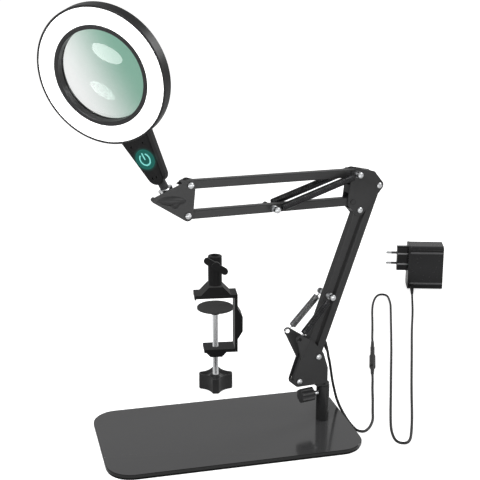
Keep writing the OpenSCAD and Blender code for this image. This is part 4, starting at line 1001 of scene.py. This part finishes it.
class MAGNIFIER_OT_clamp(bpy.types.Operator):
    """Makes the threaded clamp screw and the four-lobed star knob"""
    bl_idname = "magnifier.clamp"
    bl_label = "Table clamp"

    def execute(self, context):
        s = settings().clamp
        self.screw(s.screw / MM, s.pitch / MM)
        self.knob(s.knob / MM)
        return {"FINISHED"}

    def screw(self, diameter, lead):
        """Fine two-start thread: r(a, z) = R - d (1 - w), where w is a rounded wave of
        2 z / lead - a / pi, and the ends are plain."""
        rows = int((SCREW_TO - SCREW_FROM) / lead * 20)
        z = np.linspace(SCREW_FROM, SCREW_TO, rows)[:, None]
        a = np.linspace(0, 2 * np.pi, 40, endpoint=False)[None, :]
        wave = 0.5 + 0.5 * np.cos(4 * np.pi * z / lead - 2 * a)
        fade = (np.clip((z - THREAD_FROM) / FADE_IN, 0, 1)
                * np.clip((THREAD_TO - z) / FADE_OUT, 0, 1))
        r = diameter / 2 - THREAD_DEPTH * (1 - wave ** 0.7) * fade
        points = np.stack([r * np.cos(a), r * np.sin(a), z + 0 * a], -1)
        piece = grid_piece("threaded_screw", placed(points, CLAMP), crease=50)
        settled(piece, "chrome", "clamp_spindle", "chrome", "clamp_screw")
        piece.visible_glossy = False

    def star(self, diameter, inset):
        """Outline r(a) of four lobes: the smaller, softly joined, of a circle and the near
        side of four hollows whose centres lie outside it."""
        a = np.linspace(0, 2 * np.pi, 288, endpoint=False)
        off = (a - np.radians(LOBE_TURN) + np.pi / 4) % (np.pi / 2) - np.pi / 4
        big, c, rho = diameter / 2 - inset, HOLLOW_AT * diameter, HOLLOW_R * diameter + inset
        inside = rho ** 2 - (c * np.sin(off)) ** 2
        hollow = np.where(inside > 0, c * np.cos(off) - np.sqrt(np.maximum(inside, 0)), 2 * c)
        apart = np.abs(np.minimum(hollow, 2 * big) - big) / LOBE_SOFT
        return a, np.minimum(hollow, big) - LOBE_SOFT * np.log1p(np.exp(-apart))

    def knob(self, diameter):
        """Cup: rows of (share of the outline, inset, height) from the middle of its foot,
        out and up the lobes, over a rounded rim, down to the dish and up its conical hub."""
        a, outer = self.star(diameter, 0)
        inner = self.star(diameter, CUP_WALL)[1]
        wall = np.array([[1.5, 0], [0.7, 0.15], [0.2, 0.7], [0, 1.5], [0, 11], [0, 20.4],
                         [0.12, 21.2], [0.45, 21.8], [0.9, 22]])
        lip = np.array([[-0.4, 21.85], [-0.1, 21.4], [0, 20.6], [0, 18.2], [0.3, 17.3],
                        [1.1, 17]])
        hub = np.array([[10.4, 17], [9.9, 17.15], [9.4, 17.6], [6.9, 20.1], [6.5, 20.45],
                        [6.0, 20.5], [4.1, 20.5], [4.03, 12]])
        foot = np.array([[0.6, 0], [6, 0]])
        r = np.concatenate([foot[:, :1] + 0 * a, outer - wall[:, :1], inner - lip[:, :1],
                            hub[:, :1] + 0 * a])
        z = np.concatenate([part[:, 1:] + 0 * a for part in (foot, wall, lip, hub)])
        points = np.stack([r * np.cos(a), r * np.sin(a), z], -1)
        piece = grid_piece("lobed_knob", placed(points, CLAMP), crease=40)
        settled(piece, "textured_plastic", "clamp_spindle", "black_plastic", "star_knob")
        piece.visible_glossy = False


# Small fittings of the lead

# Plug block: its length, half its height and depth, and its drop from the case's top
PLUG_WIDE, PLUG_HALF, PLUG_DEEP, PLUG_DROP = 19, 22, 14, 4
PLUG_Z = CASE_HIGH - PLUG_DROP - PLUG_HALF
# Mains pins: distance between them, and length and radii of the sleeves
PIN_PITCH, SLEEVE_LEN, SLEEVE_IN, SLEEVE_OUT = 19, 10, 2.02, 2.16
# Beads on the case and ridges on the plug: distance from the middle, depth of their middle
# under the face, gap at their ends, and half height and half depth
BEAD_Z, BEAD_SUNK, BEAD_GAP, BEAD_HALF = 28, 0.4, 0.1, (2.0, 0.85)
RIDGE_SUNK, RIDGE_FROM, RIDGE_TO, RIDGE_HALF = 0.2, 0.3, 0.1, (1.6, 0.8)


def bead(start, end, half, place):
    """Half-round strip: an ellipse in the plane square to its length, drawn in at both ends
    by sqrt(1 - u^16), where u goes from -1 to 1 along it."""
    start, end = np.array(start, float), np.array(end, float)
    half_high, half_deep = half
    u = -np.cos(np.linspace(0.05, np.pi - 0.05, 40))[:, None, None]
    q = np.linspace(0, 2 * np.pi, 16, endpoint=False)[None, :, None]
    draw = np.sqrt(np.maximum(1 - u ** 16, 0.02))
    along = (start + end) / 2 + (end - start) / 2 * u
    return placed(along + draw * (half_deep * np.cos(q) * np.array([0, 1.0, 0])
                                  + half_high * np.sin(q) * np.array([0, 0, 1.0])), place)


class MAGNIFIER_OT_fittings(bpy.types.Operator):
    """Makes the sleeves on the mains pins and the beads of the adaptor"""
    bl_idname = "magnifier.fittings"
    bl_label = "Lead fittings"

    def execute(self, context):
        """Each sleeve is a turned tube, a hair wider than its pin, with soft ends."""
        side = CASE_WIDE / 2
        for k, word in ((-1, "low"), (1, "high")):
            pin_z = PLUG_Z + k * PIN_PITCH / 2
            place = ADAPTOR @ moved(-side - PLUG_WIDE - SLEEVE_LEN, 0, pin_z) @ turned("y", 90)
            line = rounded([[SLEEVE_IN, 0.3], [SLEEVE_OUT, 0.3], [SLEEVE_OUT, SLEEVE_LEN - 0.1],
                            [SLEEVE_IN, SLEEVE_LEN - 0.1]], 0.12, 4)
            piece = grid_piece("pin_sleeve_" + word, lathe(line, 32, place), wrap_rows=True)
            settled(piece, "trim_and_painted_highlight", "base", "black_gloss")
            # beads on the case, lighter than the case as a painted highlight
            y, z = BEAD_SUNK - CASE_DEEP / 2, CASE_HIGH / 2 + k * BEAD_Z
            strip = bead([BEAD_GAP - side, y, z], [side - BEAD_GAP, y, z], BEAD_HALF, ADAPTOR)
            settled(grid_piece("case_bead_" + word, strip), "trim_and_painted_highlight", "base",
                    "black_gloss")
            # ridges on the plug, grey as a painted highlight
            y = RIDGE_SUNK - PLUG_DEEP / 2
            strip = bead([RIDGE_FROM - PLUG_WIDE - side, y, pin_z], [-RIDGE_TO - side, y, pin_z],
                         RIDGE_HALF, ADAPTOR)
            settled(grid_piece("plug_ridge_" + word, strip), "ridge_painted_highlight", "base",
                    "black_gloss")
        self.lip(side)
        return {"FINISHED"}

    def lip(self, side):
        """Raised lip round the plug end of the case: the case's rounded outline, offset by
        the height of a flat profile, rows of (place along the case, offset)."""
        a = np.linspace(0, 2 * np.pi, 96, endpoint=False)
        c, s = np.cos(a), np.sin(a)
        y = np.sign(c) * (CASE_DEEP / 2 - CASE_EDGE)
        z = np.sign(s) * (CASE_HIGH / 2 - CASE_EDGE)
        rows = np.array([[-0.1, -0.6], [-0.1, 0.1], [0.2, 0.32], [3.8, 0.32], [4.1, 0.1],
                         [4.1, -0.6]])
        offset = CASE_EDGE + rows[:, 1:]
        points = np.stack([np.repeat(rows[:, :1] - side, len(a), 1), y + offset * c,
                           CASE_HIGH / 2 + z + offset * s], -1)
        points[..., 2] = np.maximum(points[..., 2], 0.0)
        piece = grid_piece("case_lip", placed(points, ADAPTOR), wrap_rows=True)
        # the lip takes the case's finish, with its painted light and shade bands
        settled(piece, "case_plastic_painted_bands", "base", "black_gloss")


class MAGNIFIER_PT_panel(bpy.types.Panel):
    """Steps and settings of the ring-light magnifier"""
    bl_idname = "MAGNIFIER_PT_panel"
    bl_label = "Ring-light magnifier"
    bl_space_type = "VIEW_3D"
    bl_region_type = "UI"
    bl_category = "Magnifier"

    def draw(self, context):
        for step in STEPS:
            self.layout.operator(step.bl_idname)
        for group in ("finish", "spring", "lead", "clamp", "stage"):
            held = getattr(context.scene.magnifier, group)
            box = self.layout.box()
            for key in held.__annotations__:
                box.prop(held, key)


STEPS = (MAGNIFIER_OT_stage, MAGNIFIER_OT_finishes, MAGNIFIER_OT_leads, MAGNIFIER_OT_springs,
         MAGNIFIER_OT_head, MAGNIFIER_OT_clamp, MAGNIFIER_OT_fittings)
CLASSES = (FinishSettings, SpringSettings, LeadSettings, ClampSettings, StageSettings,
           MagnifierSettings, *STEPS, MAGNIFIER_PT_panel)


def register():
    for kind in CLASSES:
        bpy.utils.register_class(kind)
    bpy.types.Scene.magnifier = bpy.props.PointerProperty(type=MagnifierSettings)


def unregister():
    del bpy.types.Scene.magnifier
    for kind in reversed(CLASSES):
        bpy.utils.unregister_class(kind)


def main():
    register()
    bpy.ops.magnifier.stage()
    bpy.ops.magnifier.finishes()
    bpy.ops.magnifier.leads()
    bpy.ops.magnifier.springs()
    bpy.ops.magnifier.head()
    bpy.ops.magnifier.clamp()
    bpy.ops.magnifier.fittings()


if __name__ == "__main__":
    main()
